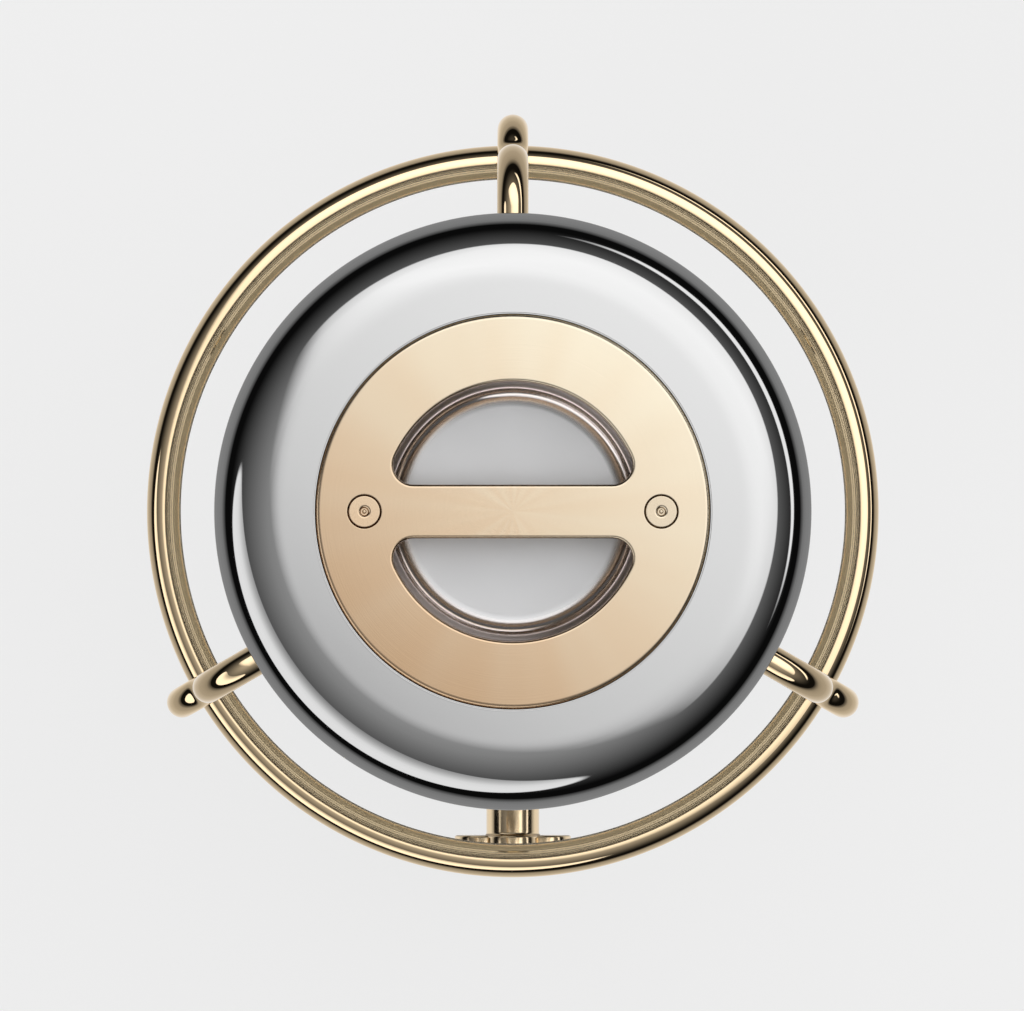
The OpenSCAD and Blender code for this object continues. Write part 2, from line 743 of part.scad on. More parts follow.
module shutter_pivot() color(steel) translate([shutter_reach, port_y, 0]) difference() {
    union() {
        post(pivot_head_r, shutter_z - shutter_gap - pivot_head_t, shutter_z - shutter_gap);
        post(pivot_r, shutter_z - shutter_gap - eps, cover_top);
    }
    translate([-pivot_slot_w / 2, -pivot_head_r - past, shutter_z - shutter_gap - pivot_head_t - past])
        cube([pivot_slot_w, 2 * (pivot_head_r + past), pivot_slot_deep + past]);
}

module knob_bush() color(brass) difference() {
    union() {
        knob_post(bush_r, knob_boss_in, knob_wall_y);
        knob_post(bush_flange_r, knob_boss_in - bush_flange_t, knob_boss_in);
    }
    knob_post(stem_r + running_gap, knob_boss_in - bush_flange_t - past, knob_wall_y + past);
    knob_post(seal_groove_r, seal_y - seal_r - hole_gap, seal_y + seal_r + hole_gap);
}

module knob_seal() color(dark) translate([0, -seal_y, knob_z]) rotate([90, 0, 0])
    rotate_extrude() translate([seal_ring_r, 0]) circle(r = seal_r, $fn = 32);

module encoder_body() color([0.24, 0.24, 0.26]) difference() {
    union() {
        translate([-encoder_w / 2, -encoder_y, knob_z - encoder_w / 2])
            cube([encoder_w, encoder_t, encoder_w]);
        knob_post(encoder_collar_r, encoder_y - eps, encoder_collar_end);
    }
    knob_post(shaft_r + running_gap, plunger_y, encoder_collar_end + past);
    knob_post(encoder_cavity_r, cavity_end_y, encoder_y - encoder_face_t);
}

module encoder_nut() color(steel) difference() {
    translate([0, -encoder_y - bracket_t, knob_z]) rotate([90, 0, 0])
        cylinder(r = nut_af / 2 / cos(30), h = nut_t, $fn = 6);
    knob_post(encoder_collar_r + snug_gap, encoder_y, encoder_y + bracket_t + nut_t + past);
}

// What follows is put at both of the bracket's screws
module at_bracket_screws() {
    for (x = [-bracket_screw_x, bracket_screw_x]) translate([x, bracket_screw_in - encoder_y, 0]) children();
}

module encoder_bracket() color(alloy) difference() {
    union() {
        translate([-bracket_w / 2, -encoder_y - bracket_t, board_top])
            cube([bracket_w, bracket_t, knob_z + bracket_w / 2 - board_top]);
        for (x = [-bracket_w / 2, bracket_w / 2 - bracket_foot_w]) translate([x, -encoder_y - eps, board_top])
            cube([bracket_foot_w, bracket_foot, bracket_t]);
    }
    knob_post(encoder_collar_r + clear_gap, encoder_y - past, encoder_y + bracket_t + past);
    at_bracket_screws() post(m2_r + hole_gap, board_z, board_top + bracket_t + past);
}

module bracket_screws() color(steel) at_bracket_screws() {
    post(m2_head_r, board_top + bracket_t, board_top + bracket_t + m2_head_t);
    post(m2_r, board_top, board_top + bracket_t + eps);
}

module encoder_lead() color([0.15, 0.30, 0.62]) for (i = [-1:1])
    translate([i * wire_pitch, wire_in - encoder_y, 0])
        post(wire_r, board_top, knob_z - encoder_w / 2, $fn = 24);

module switch_plunger() color(steel) knob_post(plunger_r, plunger_y - plunger_t, plunger_y);

module encoder_shaft() color(steel) knob_post(shaft_r, shaft_end_y, shaft_front_y);

module dimmer_stem() color(brass) difference() {
    union() {
        knob_post(stem_r, stem_end_y, dial_y);
        translate([0, -dial_y, knob_z]) rotate([90, 0, 0]) rotate_extrude()
            polygon(concat([[stem_r - 1, 0], [stem_r + stem_fillet, 0]],
                arc(stem_r + stem_fillet, -stem_fillet, stem_fillet, 90, 180, 5),
                [[stem_r - 1, -stem_fillet]]));
    }
    knob_post(shaft_r + eps, stem_end_y - past, shaft_front_y);
    knob_post(dial_screw_r, shaft_front_y, dial_y + past);
}

// The dial's outline: equal lobes round a filled middle
module lobes(grow) {
    circle(r = lobe_ring_r + grow);
    for (i = [0:lobe_count - 1]) rotate(90 + 360 * i / lobe_count) translate([lobe_ring_r, 0])
        circle(r = lobe_r + grow, $fn = 64);
}

module dimmer_dial() color(brass) difference() {
    translate([0, -dial_y, knob_z]) rotate([90, 0, 0]) {
        linear_extrude(height = dial_back_chamfer) lobes(-dial_back_chamfer);
        translate([0, 0, dial_back_chamfer])
            linear_extrude(height = dial_t - dial_back_chamfer - dial_chamfer) lobes(0);
        translate([0, 0, dial_t - dial_chamfer]) linear_extrude(height = dial_chamfer) lobes(-dial_chamfer);
    }
    knob_post(dial_screw_r + clear_gap, dial_y - past, dial_y + dial_t + past);
    knob_post(dial_screw_head_r + clear_gap, dial_y + dial_t - dial_bore_deep, dial_y + dial_t + past);
}

module dial_screw() color(steel) difference() {
    union() {
        knob_post(dial_screw_head_r, dial_y + dial_t - dial_bore_deep, dial_y + dial_t - dial_screw_sunk);
        knob_post(dial_screw_r - snug_gap, shaft_front_y + 0.2, dial_y + dial_t - dial_bore_deep + eps);
    }
    translate([0, dial_screw_sunk + dial_socket_deep - dial_y - dial_t, knob_z]) rotate([90, 0, 0])
        cylinder(r = m3_socket_r, h = dial_socket_deep + past, $fn = 6);
}

top_cap();
cap_plate();
cap_screws();
recess_cup();
cap_reflector();
reflector_screws();
upper_gasket();
glass_lens();
lower_gasket();
guard_ring();
guard_rod_rear();
guard_rod_left();
guard_rod_right();
upper_rod_nuts();
lower_rod_nuts();
base_shell();
base_cover();
cover_screws();
foot_ring();
lamp_deck();
deck_screws();
lamp_post();
post_screws();
lamp_core();
led_boards();
leds();
diffuser_globe();
globe_ring();
lamp_lead();
main_board();
board_parts();
board_screws();
battery_cells();
lower_cell_tray();
upper_cell_tray();
pack_rods();
pack_pad();
charging_socket();
port_shutter();
shutter_pivot();
knob_bush();
knob_seal();
encoder_body();
encoder_nut();
encoder_bracket();
bracket_screws();
encoder_lead();
switch_plunger();
encoder_shaft();
dimmer_stem();
dimmer_dial();
dial_screw();
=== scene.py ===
# %% [markdown]
# This file dresses a battery lantern that is seen from straight above. A mirror-polished steel cap carries a
# satin brass plate with a hanging bar, and a brass ring and three bent brass rods guard the glass behind it.
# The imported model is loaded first. It fixes each size and place, and the pieces made here are fitted to it.

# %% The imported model
import json
import math

import bmesh
import bpy
from mathutils import Matrix, Vector
from mathutils.geometry import delaunay_2d_cdt


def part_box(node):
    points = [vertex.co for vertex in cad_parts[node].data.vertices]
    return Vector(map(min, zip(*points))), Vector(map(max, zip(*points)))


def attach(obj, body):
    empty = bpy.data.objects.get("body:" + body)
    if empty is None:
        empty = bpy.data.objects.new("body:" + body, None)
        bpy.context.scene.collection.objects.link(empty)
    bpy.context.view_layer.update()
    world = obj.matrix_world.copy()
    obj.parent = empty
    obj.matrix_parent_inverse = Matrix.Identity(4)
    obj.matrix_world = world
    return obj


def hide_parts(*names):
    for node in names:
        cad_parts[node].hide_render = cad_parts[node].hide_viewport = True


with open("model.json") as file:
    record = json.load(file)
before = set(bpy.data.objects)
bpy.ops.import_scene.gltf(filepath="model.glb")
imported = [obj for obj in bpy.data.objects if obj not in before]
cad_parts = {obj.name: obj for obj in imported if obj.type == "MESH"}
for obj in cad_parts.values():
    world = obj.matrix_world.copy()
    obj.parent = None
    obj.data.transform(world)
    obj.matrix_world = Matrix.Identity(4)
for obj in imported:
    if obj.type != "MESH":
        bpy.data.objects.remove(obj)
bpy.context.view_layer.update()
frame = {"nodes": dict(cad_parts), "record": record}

# %% [markdown]
# A turned part is described best by the radius and the height of its outline. The sizes here are in
# millimetres, and a mesh is brought to metres as it is made. What another piece depends on is measured on
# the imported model, so that a change there is followed here.

# %% Sizes that several pieces share
MM = 0.001


def span(node):
    """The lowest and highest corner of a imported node, in millimetres."""
    low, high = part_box(node)
    return low / MM, high / MM


def reach(node):
    """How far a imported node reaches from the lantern's axis, in millimetres."""
    return max(math.hypot(v.co.x, v.co.y) for v in frame["nodes"][node].data.vertices) / MM


top_z = span("cap_plate")[1].z
cap_z = span("top_cap")[0].z
base_z = span("base_shell")[0].z
base_top = span("base_shell")[1].z
mid_z = (base_top + cap_z) / 2
body_r = reach("top_cap")
plate_r = reach("cap_plate")
plate_z = span("cap_plate")[0].z
crown_r = 1000
wall_t = 2.5
knob_z = sum(corner.z for corner in span("dimmer_stem")) / 2


def crown_z(r):
    """The height of the shallow dome across the cap at a distance from the axis."""
    return top_z - crown_r + math.sqrt(crown_r**2 - r * r)


print("cap radius", round(body_r, 2), "plate radius", round(plate_r, 2), "middle height", round(mid_z, 2))

# %% [markdown]
# Node trees need the same few steps again and again: make a node, set it up, and link it. Two short helpers
# do that, for shader trees and for Geometry Nodes trees alike.

# %% Helpers for node trees


def new_tree(name, kind, inputs, outputs):
    """A node tree with named sockets: inputs are (name, type, value), outputs are (name, type)."""
    tree = bpy.data.node_groups.new(name, kind)
    for label, socket_type, value in inputs:
        item = tree.interface.new_socket(name=label, in_out="INPUT", socket_type=socket_type)
        if value is not None:
            item.default_value = value
    for label, socket_type in outputs:
        tree.interface.new_socket(name=label, in_out="OUTPUT", socket_type=socket_type)
    return tree


def add(tree, kind, inputs=None, **settings):
    """A new node, with its settings, and with each input linked to a socket or given its value."""
    node = tree.nodes.new(kind)
    for name, value in settings.items():
        setattr(node, name, value)
    for key, value in (inputs or {}).items():
        if isinstance(value, bpy.types.NodeSocket):
            tree.links.new(value, node.inputs[key])
        else:
            node.inputs[key].default_value = value
    return node


def maths(tree, operation, *values):
    """The result of a Math node."""
    return add(tree, "ShaderNodeMath", dict(enumerate(values)), operation=operation).outputs[0]


# %% [markdown]
# Most of the lantern is turned on a lathe: cap, dish, screws, stem and glass. Blender could spin each outline
# in mesh code, but one Geometry Nodes tree does it for all of them. A grid has a column of points for each
# step round the axis, and each point takes its radius and height from the outline.

# %% The lathe tree


def lathe_tree():
    """Turns an outline of points, as (radius, 0, height), round the Z axis."""
    tree = new_tree("Lathe", "GeometryNodeTree",
                    [("Outline", "NodeSocketGeometry", None), ("Steps", "NodeSocketInt", 192),
                     ("Finish", "NodeSocketMaterial", None)],
                    [("Geometry", "NodeSocketGeometry")])
    given = add(tree, "NodeGroupInput").outputs
    count = add(tree, "GeometryNodeAttributeDomainSize", {0: given["Outline"]}).outputs["Point Count"]
    columns = maths(tree, "ADD", given["Steps"], 1)
    grid = add(tree, "GeometryNodeMeshGrid", {"Vertices X": columns, "Vertices Y": count})
    index = add(tree, "GeometryNodeInputIndex").outputs[0]
    place = maths(tree, "FLOORED_MODULO", index, count)
    turn = maths(tree, "DIVIDE", maths(tree, "FLOOR", maths(tree, "DIVIDE", index, count)), given["Steps"])
    angle = maths(tree, "MULTIPLY", turn, 2 * math.pi)
    position = add(tree, "GeometryNodeInputPosition").outputs[0]
    outline = add(tree, "GeometryNodeSampleIndex", data_type="FLOAT_VECTOR")
    tree.links.new(given["Outline"], outline.inputs["Geometry"])
    tree.links.new(position, outline.inputs["Value"])
    tree.links.new(place, outline.inputs["Index"])
    point = add(tree, "ShaderNodeSeparateXYZ", {0: outline.outputs[0]}).outputs
    x = maths(tree, "MULTIPLY", point["X"], maths(tree, "COSINE", angle))
    y = maths(tree, "MULTIPLY", point["X"], maths(tree, "SINE", angle))
    moved = add(tree, "ShaderNodeCombineXYZ", {"X": x, "Y": y, "Z": point["Z"]}).outputs[0]
    shape = add(tree, "GeometryNodeSetPosition", {"Geometry": grid.outputs["Mesh"], "Position": moved})
    closed = add(tree, "GeometryNodeMergeByDistance", {"Geometry": shape.outputs[0], "Distance": 1e-6})
    real = add(tree, "GeometryNodeRealizeInstances", {0: closed.outputs[0]})
    done = add(tree, "GeometryNodeSetMaterial", {0: real.outputs[0], "Material": given["Finish"]})
    add(tree, "NodeGroupOutput", {0: done.outputs[0]})
    return tree


LATHE = lathe_tree()

# %% [markdown]
# A tree works on an object through a modifier, and the export wants plain meshes. So each shape is made on
# an object that is there only for that and read back as a mesh. Then the object and its modifier are removed.

# %% From a tree to a plain mesh


def line_mesh(points, closed=False):
    """A mesh of points joined one after another by edges, from millimetres to metres."""
    mesh = bpy.data.meshes.new("line")
    count = len(points)
    edges = [(i, (i + 1) % count) for i in range(count if closed else count - 1)]
    mesh.from_pydata([[c * MM for c in p] for p in points], edges, [])
    return mesh


def grown(tree, source, values):
    """The plain mesh that a Geometry Nodes tree makes from a source mesh."""
    holder = bpy.data.objects.new("holder", source)
    bpy.context.scene.collection.objects.link(holder)
    modifier = holder.modifiers.new("nodes", "NODES")
    modifier.node_group = tree
    for item in tree.interface.items_tree:
        if item.item_type == "SOCKET" and item.in_out == "INPUT" and item.name in values:
            modifier[item.identifier] = values[item.name]
    bpy.context.view_layer.update()
    evaluated = holder.evaluated_get(bpy.context.evaluated_depsgraph_get())
    mesh = bpy.data.meshes.new_from_object(evaluated)
    bpy.data.objects.remove(holder)
    bpy.data.meshes.remove(source)
    return mesh


def cleaned(mesh, sharp=32):
    """Merges doubles, points the faces outwards, and shades smooth up to an angle between faces."""
    shape = bmesh.new()
    shape.from_mesh(mesh)
    bmesh.ops.remove_doubles(shape, verts=shape.verts, dist=1e-6)
    bmesh.ops.recalc_face_normals(shape, faces=shape.faces)
    shape.to_mesh(mesh)
    shape.free()
    mesh.shade_smooth()
    mesh.set_sharp_from_angle(angle=math.radians(sharp))
    return mesh


def arc(x, z, r, a0, a1, n):
    """Points of an arc round (x, z), from angle a0 to a1 in n steps."""
    angles = [math.radians(a0 + (a1 - a0) * i / n) for i in range(n + 1)]
    return [(x + r * math.cos(a), z + r * math.sin(a)) for a in angles]


def rounded(points, steps=5):
    """An outline whose points are (radius, height) or (radius, height, corner radius)."""
    out = []
    count = len(points)
    for i, point in enumerate(points):
        here = Vector(point[:2])
        if len(point) < 3:
            out.append(tuple(here))
            continue
        back = Vector(points[i - 1][:2]) - here
        ahead = Vector(points[(i + 1) % count][:2]) - here
        half = back.angle(ahead) / 2
        start = here + back.normalized() * point[2] / math.tan(half)
        end = here + ahead.normalized() * point[2] / math.tan(half)
        centre = here + (back.normalized() + ahead.normalized()).normalized() * point[2] / math.sin(half)
        for k in range(steps + 1):
            direction = (start - centre).slerp(end - centre, k / steps).normalized()
            out.append(tuple(centre + direction * point[2]))
    return out


def turned(outline, material, steps=192, closed=True):
    """The mesh of an outline turned round the axis."""
    points = [(r, 0, z) for r, z in outline]
    if closed:
        points.append(points[0])
    return cleaned(grown(LATHE, line_mesh(points), {"Steps": steps, "Finish": material}))


# %% [markdown]
# A finished piece has its own name, sits at the origin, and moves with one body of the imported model. It
# stands for a node of that model, which is then hidden.

# %% Putting a piece in place
SLOT_OF = {part["node"]: part["material_slot"] for part in frame["record"]["subparts"]}
BODY_OF = {node: body for body, nodes in frame["record"]["behaviour"]["bodies"].items() for node in nodes}


def piece(name, mesh, *nodes):
    """Fixes a finished mesh to its body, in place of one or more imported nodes."""
    mesh.name = name
    made = bpy.data.objects.new(name, mesh)
    bpy.context.scene.collection.objects.link(made)
    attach(made, BODY_OF[nodes[0]])
    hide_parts(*nodes)
    print(name, len(mesh.polygons), "faces")
    return made


# %% [markdown]
# Real metal is never even. Hands and cloths leave faint smudges, and a lathe leaves fine rings. Both effects
# are shader groups, because several finishes share them. The group of the rings also puts out broad fans
# round the axis, which the plate's colour uses as painted reflection. Each reads Object coordinates, which
# are the lantern's own metres, so the pattern stays in place when a piece moves.

# %% Smudges, turned lines and painted fans


def smudge_group():
    """Soft blotches, put out as a value between Low and High."""
    tree = new_tree("Smudges", "ShaderNodeTree",
                    [("Scale", "NodeSocketFloat", 60.0), ("Low", "NodeSocketFloat", 0.03),
                     ("High", "NodeSocketFloat", 0.08)],
                    [("Value", "NodeSocketFloat")])
    given = add(tree, "NodeGroupInput").outputs
    place = add(tree, "ShaderNodeTexCoord").outputs["Object"]
    noise = add(tree, "ShaderNodeTexNoise", {"Vector": place, "Scale": given["Scale"], "Detail": 4.0,
                                             "Roughness": 0.6, "Distortion": 0.4})
    value = add(tree, "ShaderNodeMapRange", {"Value": noise.outputs[0], "From Min": 0.35, "From Max": 0.7,
                                             "To Min": given["Low"], "To Max": given["High"]})
    add(tree, "NodeGroupOutput", {0: value.outputs[0]})
    return tree


def lines_and_painted_fans_group():
    """Fine rings round the lantern's axis, as a height; a slow change with the azimuth, for painted fans of
    reflection; and the radius.
    """
    tree = new_tree("Turned lines and painted fans", "ShaderNodeTree",
                    [("Rings per metre", "NodeSocketFloat", 6000.0), ("Painted fan scale", "NodeSocketFloat", 3.0)],
                    [("Height", "NodeSocketFloat"), ("Painted fan light", "NodeSocketFloat"),
                     ("Radius", "NodeSocketFloat")])
    given = add(tree, "NodeGroupInput").outputs
    place = add(tree, "ShaderNodeTexCoord").outputs["Object"]
    xyz = add(tree, "ShaderNodeSeparateXYZ", {0: place}).outputs
    radius = maths(tree, "SQRT", maths(tree, "ADD", maths(tree, "MULTIPLY", xyz["X"], xyz["X"]),
                                       maths(tree, "MULTIPLY", xyz["Y"], xyz["Y"])))
    ring = maths(tree, "MULTIPLY", radius, given["Rings per metre"])
    across = maths(tree, "MULTIPLY", maths(tree, "ARCTAN2", xyz["Y"], xyz["X"]), 1.5)
    spot = add(tree, "ShaderNodeCombineXYZ", {"X": ring, "Y": across, "Z": xyz["Z"]}).outputs[0]
    lines = add(tree, "ShaderNodeTexNoise", {"Vector": spot, "Scale": 1.0, "Detail": 2.0})
    inner = maths(tree, "DIVIDE", xyz["X"], radius)
    outer = maths(tree, "DIVIDE", xyz["Y"], radius)
    compass = add(tree, "ShaderNodeCombineXYZ", {"X": inner, "Y": outer}).outputs[0]
    painted_fans = add(tree, "ShaderNodeTexNoise", {"Vector": compass, "Scale": given["Painted fan scale"], "Detail": 1.0})
    add(tree, "NodeGroupOutput", {0: lines.outputs[0], 1: painted_fans.outputs[0], 2: radius})
    return tree


SMUDGES = smudge_group()
LINES_AND_PAINTED_FANS = lines_and_painted_fans_group()

# %% [markdown]
# Each finish is one Principled BSDF. Its constant values are typed into its own sockets, and only what
# changes over the surface is linked: the roughness from the smudges, and the normal from a fine bump.

# %% A finish with its smudges


def finish(name, color, roughness, metallic=0.0, smudge=60.0, spread=0.4, **more):
    """A material whose roughness wanders a little; returns it with its tree and its shader."""
    material = bpy.data.materials.new(name)
    material.use_nodes = True
    tree = material.node_tree
    tree.nodes.clear()
    values = {"Base Color": (*color, 1.0), "Metallic": metallic}
    values.update({key.replace("_", " ").title().replace("Ior", "IOR"): value for key, value in more.items()})
    shader = add(tree, "ShaderNodeBsdfPrincipled", values)
    blotches = add(tree, "ShaderNodeGroup", {"Scale": smudge, "Low": roughness * (1 - spread),
                                             "High": roughness * (1 + spread)}, node_tree=SMUDGES)
    tree.links.new(blotches.outputs[0], shader.inputs["Roughness"])
    add(tree, "ShaderNodeOutputMaterial", {"Surface": shader.outputs[0]})
    return material, tree, shader


def bumped(tree, shader, height, strength, distance):
    """Feeds a height through a Bump node into the shader's normal."""
    bump = add(tree, "ShaderNodeBump", {"Height": height, "Strength": strength, "Distance": distance})
    tree.links.new(bump.outputs[0], shader.inputs["Normal"])


def grain(tree, scale, detail=3.0):
    """Plain noise on Object coordinates, for cast, moulded and sanded surfaces."""
    place = add(tree, "ShaderNodeTexCoord").outputs["Object"]
    return add(tree, "ShaderNodeTexNoise", {"Vector": place, "Scale": scale, "Detail": detail}).outputs[0]


# %% [markdown]
# The cap and base are polished until they reflect like a mirror, a little grey and darker at grazing angles.
# The brass of the ring and rods is just as bright, and the knob is left a little softer. The plate is satin:
# a lathe drew fine rings on it, which spread each reflection a little along the radius; the broad fans of
# light on it are painted reflection in its colour, which is also painted lighter to one side. The dish is
# steel of two kinds, blasted on its floor and bright on its wall, so one material blends both by the distance
# from the axis, and the wall's pale pink colour is painted light.

# %% The metals


def polished_steel():
    material, tree, shader = finish("polished_steel", (0.52, 0.52, 0.52), 0.035, 1.0, smudge=45.0, spread=0.3,
                                    specular_tint=(0.5, 0.5, 0.5, 1.0))
    bumped(tree, shader, grain(tree, 90.0), 0.02, 0.0002)
    return material


# The floor keeps the plain colour of steel, and the wall's pale pink colour is painted light.
BLASTED_TINT = (0.54, 0.54, 0.545)
WALL_PAINTED_LIGHT = (0.90, 0.84, 0.82)
BLASTED_ROUGHNESS = 0.30
BRIGHT_ROUGHNESS = 0.12
BLASTED_TO = 0.0215
BRIGHT_AND_PAINTED_LIGHT_FROM = 0.0232


def satin_steel():
    """The dish: blasted on its floor, and bright on its wall, where its pale pink colour is painted light;
    the two limits between are in metres.
    """
    material, tree, shader = finish("satin_steel", BLASTED_TINT, BLASTED_ROUGHNESS, 1.0, spread=0.05)
    lines = add(tree, "ShaderNodeGroup", node_tree=LINES_AND_PAINTED_FANS)
    bright_and_painted_light = add(tree, "ShaderNodeMapRange", {"Value": lines.outputs["Radius"], "From Min": BLASTED_TO,
                                              "From Max": BRIGHT_AND_PAINTED_LIGHT_FROM},
                 interpolation_type="SMOOTHSTEP").outputs[0]
    blasted = shader.inputs["Roughness"].links[0].from_socket
    rough = maths(tree, "MULTIPLY_ADD", bright_and_painted_light, BRIGHT_ROUGHNESS - BLASTED_ROUGHNESS, blasted)
    tree.links.new(rough, shader.inputs["Roughness"])
    # The wall's pale pink is painted light, blended in from the floor's plain steel colour.
    painted_light_tint = add(tree, "ShaderNodeMix", {"Factor": bright_and_painted_light}, data_type="RGBA")
    painted_light_tint.inputs["A"].default_value = (*BLASTED_TINT, 1)
    painted_light_tint.inputs["B"].default_value = (*WALL_PAINTED_LIGHT, 1)
    tree.links.new(painted_light_tint.outputs["Result"], shader.inputs["Base Color"])
    bumped(tree, shader, lines.outputs["Height"], 0.15, 0.00002)
    return material


def screw_steel():
    material, tree, shader = finish("screw_steel", (0.50, 0.50, 0.51), 0.22, 1.0, smudge=300.0)
    bumped(tree, shader, grain(tree, 2500.0), 0.1, 0.00002)
    return material


def champagne_brass():
    material, tree, shader = finish("champagne_brass", (0.64, 0.52, 0.37), 0.20, 1.0, spread=0.06)
    lines = add(tree, "ShaderNodeGroup", node_tree=LINES_AND_PAINTED_FANS)
    bumped(tree, shader, lines.outputs["Height"], 0.2, 0.00002)
    # The base colour is painted light: lighter towards the rear right and darker towards the front left, with
    # broad fans round the axis that are painted reflection.
    place = add(tree, "ShaderNodeTexCoord").outputs["Object"]
    across = add(tree, "ShaderNodeVectorMath", {0: place, 1: (10.0, 14.0, 0.0)}, operation="DOT_PRODUCT")
    painted_light = maths(tree, "MULTIPLY_ADD", maths(tree, "SUBTRACT", lines.outputs["Painted fan light"], 0.5), 0.4,
                  maths(tree, "MULTIPLY_ADD", across.outputs["Value"], 0.7, 0.5))
    painted_light_tint = add(tree, "ShaderNodeValToRGB", {0: painted_light})
    stops = painted_light_tint.color_ramp.elements
    # The first stop is the painted shaded side, and the second is the painted lit side.
    stops[0].color = (0.60, 0.41, 0.25, 1)
    stops[1].color = (0.70, 0.63, 0.495, 1)
    tree.links.new(painted_light_tint.outputs[0], shader.inputs["Base Color"])
    return material


def polished_brass():
    material, tree, shader = finish("polished_brass", (0.92, 0.715, 0.455), 0.03, 1.0, smudge=80.0)
    bumped(tree, shader, grain(tree, 700.0), 0.03, 0.0001)
    return material


def turned_brass():
    """The knob: left from the lathe tool, so its reflections are soft."""
    material, tree, shader = finish("turned_brass", (0.90, 0.71, 0.465), 0.14, 1.0, smudge=200.0, spread=0.2)
    bumped(tree, shader, grain(tree, 1500.0), 0.05, 0.00005)
    return material


def spun_aluminium():
    material, tree, shader = finish("spun_aluminium", (0.84, 0.85, 0.87), 0.24, 1.0)
    lines = add(tree, "ShaderNodeGroup", node_tree=LINES_AND_PAINTED_FANS)
    lines.inputs["Rings per metre"].default_value = 2500.0
    bumped(tree, shader, lines.outputs["Height"], 0.35, 0.00005)
    return material


# %% [markdown]
# The rest is glass, rubber, plastic, board and wire. Clear glass keeps its plain transmission, and the
# frosted globe scatters light through a rough surface.

# %% The other finishes


def glassy(name, color, roughness, transmission):
    """Glass, of which a share lets the light through."""
    return finish(name, color, roughness, smudge=40.0, ior=1.5, transmission_weight=transmission)[0]


def moulded(name, color, roughness, scale, strength):
    """Rubber, plastic, foam or paint with a fine even texture."""
    material, tree, shader = finish(name, color, roughness, spread=0.15)
    bumped(tree, shader, grain(tree, scale), strength, 0.0001)
    return material


def sleeve():
    """The printed plastic film round a cell, with faint rings where it has shrunk."""
    material, tree, shader = finish("cell_sleeve", (0.05, 0.18, 0.34), 0.3, spread=0.2)
    place = add(tree, "ShaderNodeTexCoord").outputs["Object"]
    rings = add(tree, "ShaderNodeTexWave", {"Vector": place, "Scale": 120.0, "Distortion": 2.0},
                bands_direction="Z")
    bumped(tree, shader, rings.outputs[0], 0.1, 0.0001)
    return material


FINISHES = {
    "polished_steel": polished_steel(),
    "satin_steel": satin_steel(),
    "screw_steel": screw_steel(),
    "champagne_brass": champagne_brass(),
    "polished_brass": polished_brass(),
    "turned_brass": turned_brass(),
    "spun_aluminium": spun_aluminium(),
    "clear_glass": glassy("clear_glass", (0.97, 0.985, 0.98), 0.02, 1.0),
    "frosted_glass": glassy("frosted_glass", (0.93, 0.92, 0.88), 0.45, 0.35),
    "black_rubber": moulded("black_rubber", (0.02, 0.02, 0.021), 0.6, 1500.0, 0.3),
    "grey_foam": moulded("grey_foam", (0.09, 0.09, 0.1), 0.9, 2500.0, 0.8),
    "black_plastic": moulded("black_plastic", (0.025, 0.025, 0.027), 0.4, 3000.0, 0.2),
    "cell_sleeve": sleeve(),
    "green_board": moulded("green_board", (0.02, 0.11, 0.06), 0.35, 1200.0, 0.1),
    "white_board": moulded("white_board", (0.82, 0.82, 0.80), 0.45, 1200.0, 0.1),
    "led_phosphor": moulded("led_phosphor", (0.88, 0.70, 0.12), 0.35, 4000.0, 0.2),
    "red_insulation": moulded("red_insulation", (0.42, 0.02, 0.015), 0.35, 1500.0, 0.1),
    "blue_insulation": moulded("blue_insulation", (0.02, 0.07, 0.30), 0.35, 1500.0, 0.1),
}
print(len(FINISHES), "finishes")

# %% [markdown]
# The cap is a deep steel shell. Its dome is almost flat, and its edge falls in a quarter of an ellipse, so
# the reflections are wide in the middle and crowd together near the side. The lathe makes it in one outline:
# out across the dome, down the side, and back along the inside.

# %% The cap
round_w = 12.65
round_h = 7.8
blend_w = 1.7
blend_end = body_r - 6
blend_fade = 5
seat_r = plate_r + 0.2
ledge_r = 34
ledge_t = 2.5
lip_r = 54.9
lip_deep = 1
land_r = 46


def dome_line(r0, r1, inset, n):
    radii = [r0 + (r1 - r0) * i / n for i in range(n + 1)]
    return [(r, crown_z(r) - inset) for r in radii]


def skin_z(r):
    """The height of the dome and of the elliptical edge that follows it."""
    out = max(r - (body_r - round_w), 0) / round_w
    return crown_z(r) - round_h * (1 - math.sqrt(1 - out * out))


def soft_line(r0, r1, n):
    """The same line, averaged over a short stretch, so that the edge starts without a step in its bend."""
    points = []
    for i in range(n + 1):
        r = r0 + (r1 - r0) * i / n
        w = blend_w * min(max((blend_end - r) / blend_fade, 0), 1)
        points.append((r, sum(skin_z(r + w * k / 6) for k in range(-6, 7)) / 13))
    return points


def edge_line(inset, n):
    """Down the quarter of an ellipse that joins the dome to the side."""
    points = []
    for i in range(1, n + 1):
        a = math.pi / 2 * i / n
        r = body_r - round_w + (round_w - inset) * math.sin(a)
        points.append((r, crown_z(r) - inset - (round_h - inset) * (1 - math.cos(a))))
    return points


